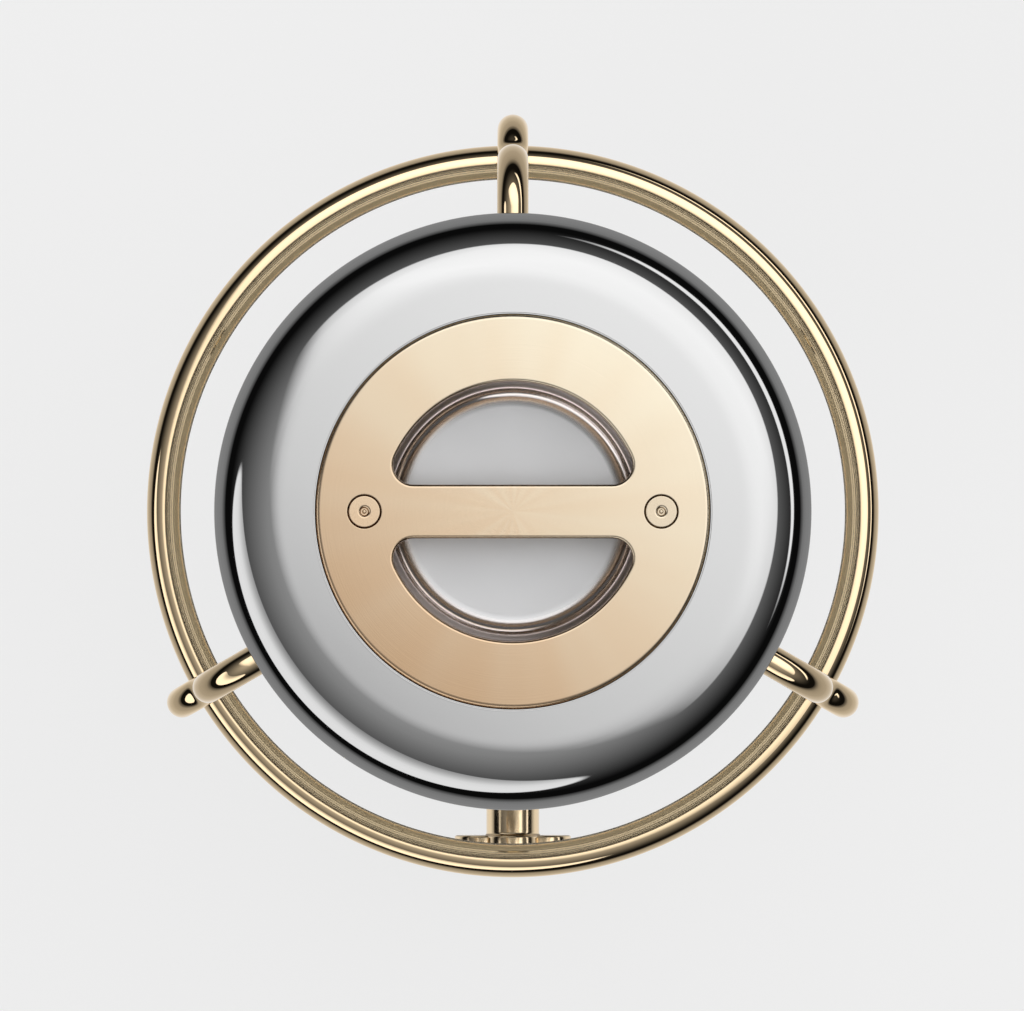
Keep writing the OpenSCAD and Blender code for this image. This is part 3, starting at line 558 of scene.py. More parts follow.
def cap_outline():
    seat = rounded([(seat_r, plate_z), (seat_r, crown_z(seat_r), 0.08), (body_r, crown_z(seat_r))])[1:-1]
    outer = soft_line(seat_r + 0.2, blend_end, 60)
    outer += [point for point in edge_line(0, 80) if point[0] > blend_end + 0.05]
    land_z = cap_z + lip_deep
    rim = rounded([(body_r, cap_z + 9), (body_r, cap_z, 0.8), (lip_r, cap_z, 0.3), (lip_r, land_z),
                   (land_r, land_z), (land_r, land_z + wall_t), (body_r - wall_t, land_z + wall_t)])
    ledge_out_r = land_r - wall_t
    inner = list(reversed(dome_line(ledge_out_r, body_r - round_w, wall_t, 4) + edge_line(wall_t, 16)))
    ledge = [(ledge_out_r, plate_z - ledge_t), (ledge_r, plate_z - ledge_t), (ledge_r, plate_z),
             (seat_r, plate_z)]
    return seat + outer + rim + inner + ledge


piece("steel_cap", turned(cap_outline(), FINISHES["polished_steel"], steps=256), "top_cap")

# %% [markdown]
# The brass plate is let into the cap. Two half-moon windows leave a straight bar to hang the lantern from.
# A flat face with holes is a job for a constrained triangulation: it fills the space between the outlines,
# and every point then takes the height of the dome. Rounded edges are added as rings of points, each a
# little lower and nearer the hole.

# %% Filling a face with holes in it


def inside(point, loop):
    """Whether a point lies within a closed loop of points."""
    x, y = point
    found = False
    for (x0, y0), (x1, y1) in zip(loop, loop[1:] + loop[:1]):
        if (y0 > y) != (y1 > y) and x < x0 + (y - y0) * (x1 - x0) / (y1 - y0):
            found = not found
    return found


def filled(loops, spacing):
    """Points and triangles within the first loop and outside the others, whose points come first."""
    points = [tuple(p) for loop in loops for p in loop]
    edges = []
    for loop in loops:
        start = len(edges)
        edges += [(start + i, start + (i + 1) % len(loop)) for i in range(len(loop))]
    low = [min(p[k] for p in loops[0]) for k in (0, 1)]
    high = [max(p[k] for p in loops[0]) for k in (0, 1)]
    rim = len(points)
    for row in range(1, int((high[1] - low[1]) / spacing)):
        for column in range(1, int((high[0] - low[0]) / spacing)):
            spot = (low[0] + (column + 0.5 * (row % 2)) * spacing, low[1] + row * spacing)
            near = min((spot[0] - x) ** 2 + (spot[1] - y) ** 2 for x, y in points[:rim])
            if near > (0.6 * spacing) ** 2:
                points.append(spot)
    out = delaunay_2d_cdt([Vector(p) for p in points], edges, [], 0, 1e-7)
    triangles = []
    for face in out[2]:
        corners = [min(out[3][i]) for i in face]
        middle = [sum(points[i][k] for i in corners) / 3 for k in (0, 1)]
        if inside(middle, loops[0]) and not any(inside(middle, loop) for loop in loops[1:]):
            triangles.append(corners)
    return points, triangles


class Solid:
    """Collects the points and faces of one mesh."""

    def __init__(self):
        self.points = []
        self.faces = []

    def loop(self, points):
        start = len(self.points)
        self.points += points
        return list(range(start, len(self.points)))

    def band(self, loops):
        """Joins each closed loop of points to the next one."""
        rows = [self.loop(points) for points in loops]
        for a, b in zip(rows, rows[1:]):
            n = len(a)
            self.faces += [[a[i], a[(i + 1) % n], b[(i + 1) % n], b[i]] for i in range(n)]

    def sheet(self, loops, spacing, place):
        """Fills the face between loops; place gives the point in space for each of its points."""
        points, triangles = filled(loops, spacing)
        rows = self.loop([place(x, y) for x, y in points])
        self.faces += [[rows[i] for i in triangle] for triangle in triangles]

    def mesh(self, material, sharp=32):
        mesh = bpy.data.meshes.new("solid")
        mesh.from_pydata([[c * MM for c in p] for p in self.points], [], self.faces)
        mesh.materials.append(material)
        return cleaned(mesh, sharp)


# %% The plate's outlines
window_r = 26.1
bar_w = 10.8
corner_r = 4
screw_x = 29.8
head_r = 3.12
head_t = 1.7
head_gap = 0.33
head_z = crown_z(screw_x) - 0.25
shank_r = 1.6
drill_drop = 0.8
plate_edge = 1.0
window_edge = 0.6
bore_edge = 0.06
edge_land = 0.12


def circle(x, y, r, n):
    return [(x + r * math.cos(2 * math.pi * i / n), y + r * math.sin(2 * math.pi * i / n)) for i in range(n)]


def window(side, grow):
    """A half moon whose edge is moved outwards by grow; side is 1 above the bar and -1 below it."""
    y0 = bar_w / 2 + corner_r
    x0 = math.sqrt((window_r - corner_r) ** 2 - y0 * y0)
    a0 = math.degrees(math.atan2(y0, x0))
    c = corner_r + grow
    straight = [(-x0 + 2 * x0 * i / 24, y0 - c) for i in range(1, 24)]
    points = arc(x0, y0, c, -90, a0, 12) + arc(0, 0, window_r + grow, a0, 180 - a0, 72)[1:-1]
    points += arc(-x0, y0, c, 180 - a0, 270, 12) + straight
    return [(side * x, side * y) for x, y in points]


def edge_steps(width, n=5):
    """How far each ring of a rounded edge stands off from the wall, and how deep it lies.

    The first ring is a narrow flat band beside the rounding, which keeps the shading of the face even.
    """
    angles = [math.pi / 2 * i / n for i in range(n + 1)]
    return [(width + edge_land, 0)] + [(width * (1 - math.sin(a)), width * (1 - math.cos(a))) for a in angles]


def on_dome(points, depth):
    return [(x, y, crown_z(math.hypot(x, y)) - depth) for x, y in points]


def at_height(points, z):
    return [(x, y, z) for x, y in points]


# %% The brass plate


def brass_plate():
    solid = Solid()
    outer = [(circle(0, 0, plate_r - off, 240), deep) for off, deep in edge_steps(plate_edge, 8)]
    windows = [[(window(side, off), deep) for off, deep in edge_steps(window_edge)] for side in (1, -1)]
    bores = [[(circle(x, 0, head_r + head_gap + off, 48), deep) for off, deep in edge_steps(bore_edge, 3)]
             for x in (-screw_x, screw_x)]
    top = [outer[0][0]] + [rings[0][0] for rings in windows + bores]
    solid.sheet(top, 2.4, lambda x, y: (x, y, crown_z(math.hypot(x, y))))
    for rings in [outer] + windows:
        wall = [on_dome(points, deep) for points, deep in rings]
        solid.band(wall + [at_height(rings[-1][0], plate_z)])
    shanks = []
    for x, rings in zip((-screw_x, screw_x), bores):
        shank = circle(x, 0, shank_r, 48)
        floor = head_z - head_t
        wall = [on_dome(points, deep) for points, deep in rings]
        drilled = [at_height(rings[-1][0], floor), at_height(shank, floor - drill_drop)]
        solid.band(wall + drilled + [at_height(shank, plate_z)])
        shanks.append(shank)
    bottom = [outer[-1][0]] + [rings[-1][0] for rings in windows] + shanks
    solid.sheet(bottom, 6, lambda x, y: (x, y, plate_z))
    return solid.mesh(FINISHES["champagne_brass"])


piece("brass_plate", brass_plate(), "cap_plate")

# %% [markdown]
# Screws, and whatever else stands in a ring round the axis, are one part that is repeated. A tree puts the
# part on as many points as are asked for, all at the axis, and turns each one further round.

# %% The ring tree


def ring_tree():
    tree = new_tree("Ring of parts", "GeometryNodeTree",
                    [("Part", "NodeSocketGeometry", None), ("Count", "NodeSocketInt", 3),
                     ("First angle", "NodeSocketFloat", 0.0), ("Finish", "NodeSocketMaterial", None)],
                    [("Geometry", "NodeSocketGeometry")])
    given = add(tree, "NodeGroupInput").outputs
    points = add(tree, "GeometryNodePoints", {"Count": given["Count"]})
    step = maths(tree, "DIVIDE", 2 * math.pi, given["Count"])
    index = add(tree, "GeometryNodeInputIndex").outputs[0]
    angle = maths(tree, "MULTIPLY_ADD", index, step, given["First angle"])
    turn = add(tree, "FunctionNodeAxisAngleToRotation", {"Axis": (0, 0, 1), "Angle": angle})
    copies = add(tree, "GeometryNodeInstanceOnPoints",
                 {"Points": points.outputs[0], "Instance": given["Part"], "Rotation": turn.outputs[0]})
    real = add(tree, "GeometryNodeRealizeInstances", {0: copies.outputs[0]})
    done = add(tree, "GeometryNodeSetMaterial", {0: real.outputs[0], "Material": given["Finish"]})
    add(tree, "NodeGroupOutput", {0: done.outputs[0]})
    return tree


RING = ring_tree()


def ringed(part, count, first, finish_name):
    """Copies of a part's mesh round the axis, the first one turned by an angle in degrees."""
    values = {"Count": count, "First angle": math.radians(first), "Finish": FINISHES[finish_name]}
    return cleaned(grown(RING, part, values))


def shifted(mesh, x, y, z):
    """The mesh, moved in millimetres."""
    mesh.transform(Matrix.Translation(Vector((x, y, z)) * MM))
    return mesh


# %% [markdown]
# The two screws beside the windows are brass like the plate. Each has a round socket with a pin in it, so
# that only a special key turns it. From above the socket shows as rings with a bright middle.

# %% The screws of the plate
socket_r = 0.8
socket_deep = 1.5
socket_lip = 1.2
pin_r = 0.36
pin_deep = 0.45

screw_line = rounded([(0, -head_t - 4), (1.5, -head_t - 4, 0.2), (1.5, -head_t), (head_r, -head_t, 0.1),
                      (head_r, 0, 0.08), (head_r - 0.2, 0), (socket_lip + 0.2, 0), (socket_lip, 0),
                      (socket_r + 0.1, -0.16), (socket_r, -0.3), (socket_r, -socket_deep, 0.1),
                      (pin_r, -socket_deep, 0.1), (pin_r, -pin_deep, 0.14), (0, -pin_deep)], 4)
brass_screw = turned(screw_line, FINISHES["champagne_brass"], 64, closed=False)
shifted(brass_screw, screw_x, 0, head_z)
piece("plate_screws", ringed(brass_screw, 2, 0, "champagne_brass"), "cap_screws")

# %% [markdown]
# Under the bar a satin dish makes room for a finger or a strap. Its floor is bare, and a wide fillet joins
# the floor to the wall. The fillet shows the bar and the windows' edges as soft bands, and the fillet's outer
# part and the wall carry painted light in a pale pink colour.

# %% The dish
dish_r = window_r + 0.5
dish_fillet = 5.7
dish_t = 1.6
dish_z = span("recess_cup")[0].z + dish_t
neck_r = ledge_r - 0.2
flange_r = 38.5

under_z = plate_z - ledge_t
dish_line = ([(0, dish_z)] + arc(dish_r - dish_fillet, dish_z + dish_fillet, dish_fillet, -90, 0, 28)
             + rounded([(dish_r, plate_z - 1), (dish_r, plate_z, 0.3), (neck_r, plate_z), (neck_r, under_z),
                        (flange_r, under_z), (flange_r, under_z - ledge_t),
                        (dish_r + dish_t, under_z - ledge_t), (dish_r + dish_t, under_z - ledge_t - 1)])
             + arc(dish_r - dish_fillet, dish_z + dish_fillet, dish_fillet + dish_t, 0, -90, 12)
             + [(0, dish_z - dish_t)])
piece("satin_dish", turned(dish_line, FINISHES["satin_steel"], closed=False), "recess_cup")

# %% [markdown]
# The guard is bent from round bar. Each rod comes out of the cap, turns down, steps out round the ring and
# goes back into the base, and a tree sweeps a circle along that line. The ring is the same bar, a little
# thicker, along a closed line.

# %% The bar tree


def bar_tree():
    tree = new_tree("Round bar", "GeometryNodeTree",
                    [("Line", "NodeSocketGeometry", None), ("Radius", "NodeSocketFloat", 0.003),
                     ("Sides", "NodeSocketInt", 48), ("Finish", "NodeSocketMaterial", None)],
                    [("Geometry", "NodeSocketGeometry")])
    given = add(tree, "NodeGroupInput").outputs
    line = add(tree, "GeometryNodeMeshToCurve", {0: given["Line"]})
    section = add(tree, "GeometryNodeCurvePrimitiveCircle",
                  {"Resolution": given["Sides"], "Radius": given["Radius"]})
    bar = add(tree, "GeometryNodeCurveToMesh",
              {"Curve": line.outputs[0], "Profile Curve": section.outputs[0], "Fill Caps": True})
    real = add(tree, "GeometryNodeRealizeInstances", {0: bar.outputs[0]})
    done = add(tree, "GeometryNodeSetMaterial", {0: real.outputs[0], "Material": given["Finish"]})
    add(tree, "NodeGroupOutput", {0: done.outputs[0]})
    return tree


BAR = bar_tree()


def bar(points, radius, finish_name, sides=48, closed=False):
    values = {"Radius": radius * MM, "Sides": sides, "Finish": FINISHES[finish_name]}
    return cleaned(grown(BAR, line_mesh(points, closed), values))


# %% The ring and the three rods
ring_tube_r = 3.45
ring_r = reach("guard_ring") - ring_tube_r
rod_r = 3.15
rod_line_r = 70.9
rod_bend_r = 9.5
rod_top = cap_z + 19
rod_in_r = 53
jog_r = ring_tube_r + rod_r + 0.03
jog_fillet = 6
jog_side = rod_line_r - ring_r + jog_fillet
jog_h = math.sqrt((jog_fillet + jog_r) ** 2 - jog_side**2)
jog_a = math.degrees(math.atan2(jog_h, jog_side))


def rod_line(angle):
    """The middle line of a rod that stands at an angle round the axis."""
    half = [(rod_in_r, rod_top)]
    half += arc(rod_line_r - rod_bend_r, rod_top - rod_bend_r, rod_bend_r, 90, 0, 24)
    half += arc(rod_line_r + jog_fillet, mid_z + jog_h, jog_fillet, 180, 180 + jog_a, 12)
    half += arc(ring_r, mid_z, jog_r, jog_a, 0, 14)[1:]
    line = half + [(r, 2 * mid_z - z) for r, z in reversed(half[:-1])]
    c = math.cos(math.radians(angle))
    s = math.sin(math.radians(angle))
    return [(r * c, r * s, z) for r, z in line]


ring_line = [(x, y, mid_z) for x, y in circle(0, 0, ring_r, 240)]
piece("brass_ring", bar(ring_line, ring_tube_r, "polished_brass", 64, closed=True), "guard_ring")
for side, angle in (("rear", 90), ("left", 210), ("right", 330)):
    piece("rod_" + side, bar(rod_line(angle), rod_r, "polished_brass"), "guard_rod_" + side)

# %% [markdown]
# The base is a second steel shell. Its wall has one round hole for the knob, so the wall is unrolled flat,
# filled round the hole, and rolled up again. The rounded lower edge and the rim are bands of rings.

# %% The base
edge_r = 7
hole_r = 5.85
hole_edge = 0.4
base_steps = 192
base_land_z = base_top - lip_deep
rubber_in_r = 43
rubber_out_r = 51
rubber_sunk = 1
rubber_gap = 0.1
cover_seat = 2.2
cover_ledge = 2


def ring_at(r, z):
    return [(r * math.sin(a), -r * math.cos(a), z)
            for a in (2 * math.pi * i / base_steps - math.pi for i in range(base_steps))]


def base_wall(solid, r, low, high, hole):
    """One skin of the wall, with a hole for the knob; a point's first coordinate runs round the wall."""
    half = math.pi * r
    across = [-half + 2 * half * i / base_steps for i in range(base_steps + 1)]
    up = [low + (high - low) * i / 16 for i in range(1, 16)]
    sheet = [(u, low) for u in across] + [(half, v) for v in up]
    sheet += [(u, high) for u in reversed(across)] + [(-half, v) for v in reversed(up)]
    rim = [(r * math.asin(x / r), knob_z + z) for x, z in circle(0, 0, hole, 64)]
    solid.sheet([sheet, rim], 4, lambda u, v: (r * math.sin(u / r), -r * math.cos(u / r), v))


def hole_ring(r, hole, deep):
    """A ring of the hole's edge, deep below the skin at radius r."""
    return [(x, -math.sqrt(r * r - x * x) + deep, knob_z + z) for x, z in circle(0, 0, hole, 64)]


def base_shell():
    solid = Solid()
    inner_r = body_r - wall_t
    low = base_z + edge_r
    base_wall(solid, body_r, low, base_top - 1, hole_r + hole_edge + edge_land)
    base_wall(solid, inner_r, low, base_land_z - wall_t, hole_r)
    solid.band([hole_ring(body_r, hole_r + off, deep) for off, deep in edge_steps(hole_edge)]
               + [hole_ring(inner_r, hole_r, 0)])
    rim = rounded([(body_r, base_top - 1), (body_r, base_top, 0.8), (lip_r, base_top, 0.3),
                   (lip_r, base_land_z), (land_r, base_land_z), (land_r, base_land_z - wall_t),
                   (inner_r, base_land_z - wall_t)])
    solid.band([ring_at(r, z) for r, z in rim])
    groove = (rubber_out_r + rubber_gap, rubber_in_r - rubber_gap)
    cover_z = base_z + cover_seat
    foot = arc(body_r - edge_r, low, edge_r, 0, -90, 20)
    foot += [(groove[0], base_z), (groove[0], base_z + rubber_sunk), (groove[1], base_z + rubber_sunk),
             (groove[1], base_z), (seat_r, base_z), (seat_r, cover_z), (ledge_r, cover_z),
             (ledge_r, cover_z + cover_ledge), (body_r - edge_r, base_z + 4)]
    foot += arc(body_r - edge_r, low, edge_r - wall_t, -70, 0, 8)
    solid.band([ring_at(r, z) for r, z in foot])
    return solid.mesh(FINISHES["polished_steel"])


piece("steel_base", base_shell(), "base_shell")

foot_line = rounded([(rubber_in_r, 0, 0.6), (rubber_out_r, 0, 0.8), (rubber_out_r, base_z + rubber_sunk),
                     (rubber_in_r, base_z + rubber_sunk)])
piece("rubber_foot", turned(foot_line, FINISHES["black_rubber"]), "foot_ring")

# %% [markdown]
# The glass drum is pressed with ribs that bend the light of the lamp outwards: a smooth belt at the middle,
# and six steps above and below it. The lathe follows one formula for all of them, and the crests and roots
# of the steps are rounded, as pressed glass is.

# %% The glass drum
glass_low, glass_high = span("glass_lens")
glass_in_r = 50.4
crest_r = 56
root_r = 53.2
rib_count = 6
belt_half = 14
foot_r = 54.4
foot_h = 8


def glass_line():
    ribs_z = mid_z + belt_half
    pitch = (glass_high.z - foot_h - ribs_z) / rib_count
    belt = [(crest_r + 0.5 - (crest_r + 0.5 - root_r) * (i / 16) ** 2, mid_z + belt_half * i / 16)
            for i in range(16)]
    ribs = [(root_r, ribs_z, 0.25)]
    for i in range(rib_count):
        foot = ribs_z + pitch * i
        ribs += [(crest_r, foot + 0.6, 0.45), (root_r, foot + pitch, 0.25)]
    ribs[-1] = (root_r, glass_high.z - foot_h)
    upper = belt + ribs + [(foot_r, glass_high.z - foot_h + 0.6, 0.4), (foot_r, glass_high.z, 0.5)]
    lower = [(p[0], 2 * mid_z - p[1], *p[2:]) for p in reversed(upper[1:])]
    ends = [(glass_in_r, glass_high.z, 0.5), (glass_in_r, glass_low.z, 0.5)]
    return rounded(lower + upper + ends, 4)


piece("glass_drum", turned(glass_line(), FINISHES["clear_glass"]), "glass_lens")

# %% [markdown]
# The lamp stands at the middle of the glass: a heat sink as its deck, a post, a frosted globe in a fluted
# brass ring, and above it a cone that throws its light sideways.

# %% The lamp and its reflector
lamp_low, lamp_high = span("diffuser_globe")
spigot_r = land_r - 0.3
brim_r = 49.6
brim_t = 2
deck_z = base_land_z
deck_top = deck_z + brim_t
groove_w = 0.4


def groove_at(r):
    """A narrow groove that the lathe tool cut in the deck, from the outside inwards."""
    return [(r + groove_w, deck_top), (r, deck_top - groove_w), (r - groove_w, deck_top)]


deck_line = rounded([(3.5, deck_z - 7), (spigot_r, deck_z - 7, 0.5), (spigot_r, deck_z), (brim_r, deck_z),
                     (brim_r, deck_top, 0.4), *groove_at(46.6), *groove_at(23.6), (3.5, deck_top, 0.3)])
piece("spun_deck", turned(deck_line, FINISHES["spun_aluminium"]), "lamp_deck")

post_r = 6
post_foot_r = 12
post_head_r = 18
post_bore_r = 3
post_foot_z = deck_top + 2.5
post_head_z = lamp_low.z - 3
post_line = rounded([(post_bore_r, deck_top), (post_foot_r, deck_top), (post_foot_r, post_foot_z, 0.6),
                     (post_r, post_foot_z, 1.5), (post_r, post_head_z, 1.5), (post_head_r, post_head_z, 0.5),
                     (post_head_r, lamp_low.z, 0.3), (post_bore_r, lamp_low.z)])
piece("lamp_stand", turned(post_line, FINISHES["screw_steel"]), "lamp_post")

globe_r = reach("diffuser_globe")
globe_in_r = globe_r - 1.5
dome_z = lamp_high.z - globe_r
globe_line = ([(globe_r, lamp_low.z)] + arc(0, dome_z, globe_r, 0, 90, 32)
              + arc(0, dome_z, globe_in_r, 90, 0, 32) + [(globe_in_r, lamp_low.z)])
piece("frosted_globe", turned(globe_line, FINISHES["frosted_glass"]), "diffuser_globe")

cone_tip_r = 4
cone_r = 40
cone_h = 20
cone_z = cap_z + lip_deep
cone_top = cone_z + 3
face_z = cone_z - brim_t
tip_z = face_z - cone_h
cone_steps = 24
shares = [i / cone_steps for i in range(1, cone_steps + 1)]
horn = [(cone_tip_r + (cone_r - cone_tip_r) * t, face_z - cone_h * (1 - t) ** 2) for t in shares]
cone_line = rounded([(0, tip_z), (cone_tip_r, tip_z, 0.5), *horn, (brim_r, face_z, 0.3), (brim_r, cone_z),
                     (spigot_r, cone_z), (spigot_r, cone_top), (0, cone_top)])
piece("reflector_cone", turned(cone_line, FINISHES["spun_aluminium"], closed=False), "cap_reflector")


def flutes(r, count, deep):
    """The radius of a ring with round flutes, as a function of the angle."""
    return lambda a: r - deep * (0.5 + 0.5 * math.cos(count * a)) ** 2


def shaped(rings, steps, material, sharp=32):
    """A solid from rings, each of which has a radius, or a radius for each angle, and a height."""
    solid = Solid()
    loops = []
    for radius, z in rings:
        r = radius if callable(radius) else lambda a, r=radius: r
        angles = [2 * math.pi * i / steps for i in range(steps)]
        loops.append([(r(a) * math.cos(a), r(a) * math.sin(a), z) for a in angles])
    solid.band(loops)
    return solid.mesh(material, sharp)


collar = flutes(18, 36, 0.5)
collar_rings = [(16.05, 0), (17.6, 0), (collar, 0.4), (collar, 3.6), (17.2, 4), (16.05, 4), (16.05, 0)]
globe_collar = shaped(collar_rings, 432, FINISHES["polished_brass"])
piece("fluted_collar", shifted(globe_collar, 0, 0, lamp_low.z), "globe_ring")

# %% [markdown]
# The knob is pressed to switch and turned to dim. Its stem comes straight out of the base and its dial has
# round lobes for the fingertips. The lobes are circles, so the distance from the knob's middle to its edge
# follows from the nearest circle, and smaller circles give the rounded edge.

# %% The knob
stem_r = 5.45
dial_y = -span("dimmer_dial")[1].y
dial_t = -span("dimmer_dial")[0].y - dial_y
lobe_r = 5.5
lobe_ring_r = 7.5
lobe_count = 6
dial_screw_r = 2.7
dial_bore_r = 1.4
dial_well_deep = 2
dial_dish_r = 7.4
dial_flat_r = 3.1
dial_dish_deep = 0.4


def lobes(inset):
    """The radius of the dial's edge at each angle, moved in by inset; one lobe stands at the top."""
    def radius(a):
        away = (a - math.pi / 2 + math.pi / lobe_count) % (2 * math.pi / lobe_count) - math.pi / lobe_count
        side = lobe_ring_r * math.sin(away)
        return lobe_ring_r * math.cos(away) + math.sqrt((lobe_r - inset) ** 2 - side**2)
    return radius


def hexagon(across):
    """The radius of a hexagon of a width across its flats, at each angle."""
    return lambda a: across / 2 / math.cos((a + math.pi / 6) % (math.pi / 3) - math.pi / 6)


def on_knob(mesh):
    """Stands a mesh that was made on the Z axis out along -Y at the knob's height."""
    turn = Matrix.Rotation(math.pi / 2, 4, "X")
    mesh.transform(Matrix.Translation((0, 0, knob_z * MM)) @ turn)
    return mesh


def dial():
    """The lobed disc, hollowed a little on its face, with a well for its screw."""
    back = [(lobes(off), deep) for off, deep in edge_steps(0.45, 4)]
    front = [(lobes(off), dial_t - deep) for off, deep in reversed(edge_steps(0.9, 6))]
    hollow = [(dial_dish_r - (dial_dish_r - dial_flat_r) * i / 10,
               dial_t - dial_dish_deep * math.sin(math.pi / 2 * i / 10)) for i in range(11)]
    well_r = dial_screw_r + 0.1
    well = [(well_r + 0.1, dial_t - dial_dish_deep - 0.02), (well_r, dial_t - dial_dish_deep - 0.15),
            (well_r, dial_t - dial_well_deep), (dial_bore_r, dial_t - dial_well_deep)]
    rings = [(dial_bore_r, 0)] + back + front + hollow + well + [(dial_bore_r, 0)]
    mesh = shaped(rings, 288, FINISHES["turned_brass"])
    return on_knob(shifted(mesh, 0, 0, dial_y))


stem_line = rounded([(3, 50.2), (stem_r, 50.2, 0.3), (stem_r, dial_y, 0.6), (stem_r + 0.9, dial_y),
                     (1.3, dial_y), (1.3, dial_y - 3), (3, dial_y - 3)])
piece("knob_stem", on_knob(turned(stem_line, FINISHES["turned_brass"], 96)), "dimmer_stem")
piece("knob_dial", dial(), "dimmer_dial")


def hex_screw(head, shank, thick, length, across, deep):
    """A flat-headed screw with a hexagon socket, its head's top at z = 0."""
    rings = [(0, -length), (shank, -length), (shank, -thick), (head, -thick), (head, -0.25),
             (head - 0.08, -0.08), (head - 0.25, 0), (across / 2 + 0.35, 0), (hexagon(across + 0.1), -0.12),
             (hexagon(across), -0.3), (hexagon(across), -deep), (0, -deep)]
    return shaped(rings, 48, FINISHES["screw_steel"])


front_screw = hex_screw(dial_screw_r, 1.23, 1.7, 8, 2, 1)
shifted(front_screw, 0, 0, dial_y + dial_t - 0.6)
piece("knob_screw", on_knob(front_screw), "dial_screw")

cover_screw_at = 36.5
cover_screw_sunk = 0.2
cover_screw = hex_screw(2.7, 1.5, 1.2, 4, 2, 0.8)
cover_screw.transform(Matrix.Rotation(math.pi, 4, "X"))
shifted(cover_screw, cover_screw_at, 0, base_z + cover_screw_sunk)
piece("cover_screws_steel", ringed(cover_screw, 4, 0, "screw_steel"), "cover_screws")

# %% [markdown]
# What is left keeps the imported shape: the closing plate, the shutter, and the parts inside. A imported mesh
# is loose triangles, so a copy is merged and shaded smooth, and stands for the node in its own finish. Beside
# its holes a flat face has slivers, which would tilt the shading of the whole face. So the normal of each
# corner is worked out here, from the faces that turn little from its own, and slivers have no say in it.

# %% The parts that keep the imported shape
SLIVER = 4e-9  # square metres


def even_normals(shape, sharp=32):
    """The normal of each corner of a bmesh: the mean of the faces there, weighed by their angles."""
    limit = math.cos(math.radians(sharp))
    shape.normal_update()
    area = {face: face.calc_area() for face in shape.faces}
    normals = []
    for face in shape.faces:
        for corner in face.loops:
            total = Vector()
            for other in corner.vert.link_loops:
                if area[other.face] > SLIVER and face.normal.dot(other.face.normal) > limit:
                    total += other.face.normal * other.calc_angle()
            normals.append(total.normalized() if total.length > 0 else face.normal.copy())
    return normals


def smoothed(node):
    """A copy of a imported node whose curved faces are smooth."""
    mesh = frame["nodes"][node].data.copy()
    mesh.materials.clear()
    mesh.materials.append(FINISHES[SLOT_OF[node]])
    shape = bmesh.new()
    shape.from_mesh(mesh)
    bmesh.ops.remove_doubles(shape, verts=shape.verts, dist=1e-6)
    normals = even_normals(shape)
    shape.to_mesh(mesh)
    shape.free()
    mesh.shade_smooth()
    mesh.normals_split_custom_set(normals)
    return piece(node + "_smooth", mesh, node)


for node, packed in frame["nodes"].items():
    if not packed.hide_render:
        smoothed(node)

# %% [markdown]
# Polished metal shows whatever is round it, so the studio is part of the finish. A large square light
# hangs overhead, a soft box stands low on one side and a narrow strip on the other, and the walls between
# them are dark. All of it is painted on the world by direction: the tilt from straight up, and the azimuth.
# Each level is what the cap shows there, so it is divided by the steel's own colour at the end.

# %% A soft box as a shader group
STEEL = 0.52


def soft_box_group():
    """A lamp with a soft edge, as an ellipse in azimuth and tilt, all in degrees."""
    tree = new_tree("Soft box", "ShaderNodeTree",
                    [("Azimuth", "NodeSocketFloat", 0.0), ("Tilt", "NodeSocketFloat", 0.0),
                     ("Centre azimuth", "NodeSocketFloat", 0.0), ("Centre tilt", "NodeSocketFloat", 45.0),
                     ("Half width", "NodeSocketFloat", 30.0), ("Half height", "NodeSocketFloat", 10.0),
                     ("Edge", "NodeSocketFloat", 0.1)],
                    [("Mask", "NodeSocketFloat")])
    given = add(tree, "NodeGroupInput").outputs
    away = maths(tree, "SUBTRACT", given["Azimuth"], given["Centre azimuth"])
    across = maths(tree, "DIVIDE", maths(tree, "WRAP", away, 180.0, -180.0), given["Half width"])
    rise = maths(tree, "SUBTRACT", given["Tilt"], given["Centre tilt"])
    up = maths(tree, "DIVIDE", rise, given["Half height"])
    out = maths(tree, "SQRT", maths(tree, "ADD", maths(tree, "MULTIPLY", across, across),
                                    maths(tree, "MULTIPLY", up, up)))
    start = maths(tree, "SUBTRACT", 1.0, given["Edge"])
    mask = add(tree, "ShaderNodeMapRange", {"Value": out, "From Min": 1.0, "From Max": start},
               interpolation_type="SMOOTHSTEP")
    add(tree, "NodeGroupOutput", {0: mask.outputs[0]})
    return tree


SOFT_BOX = soft_box_group()


def ramp(tree, value, stops):
    """A value read off a curve of (place, height) stops."""
    low = stops[0][0]
    width = stops[-1][0] - low
    place = maths(tree, "DIVIDE", maths(tree, "SUBTRACT", value, low), width)
    node = add(tree, "ShaderNodeValToRGB", {0: place})
    elements = node.color_ramp.elements
    while len(elements) < len(stops):
        elements.new(0.5)
    for element, (where, height) in zip(elements, stops):
        element.position = (where - low) / width
        element.color = (height, height, height, 1)
    return node.outputs[0]


# %% The studio


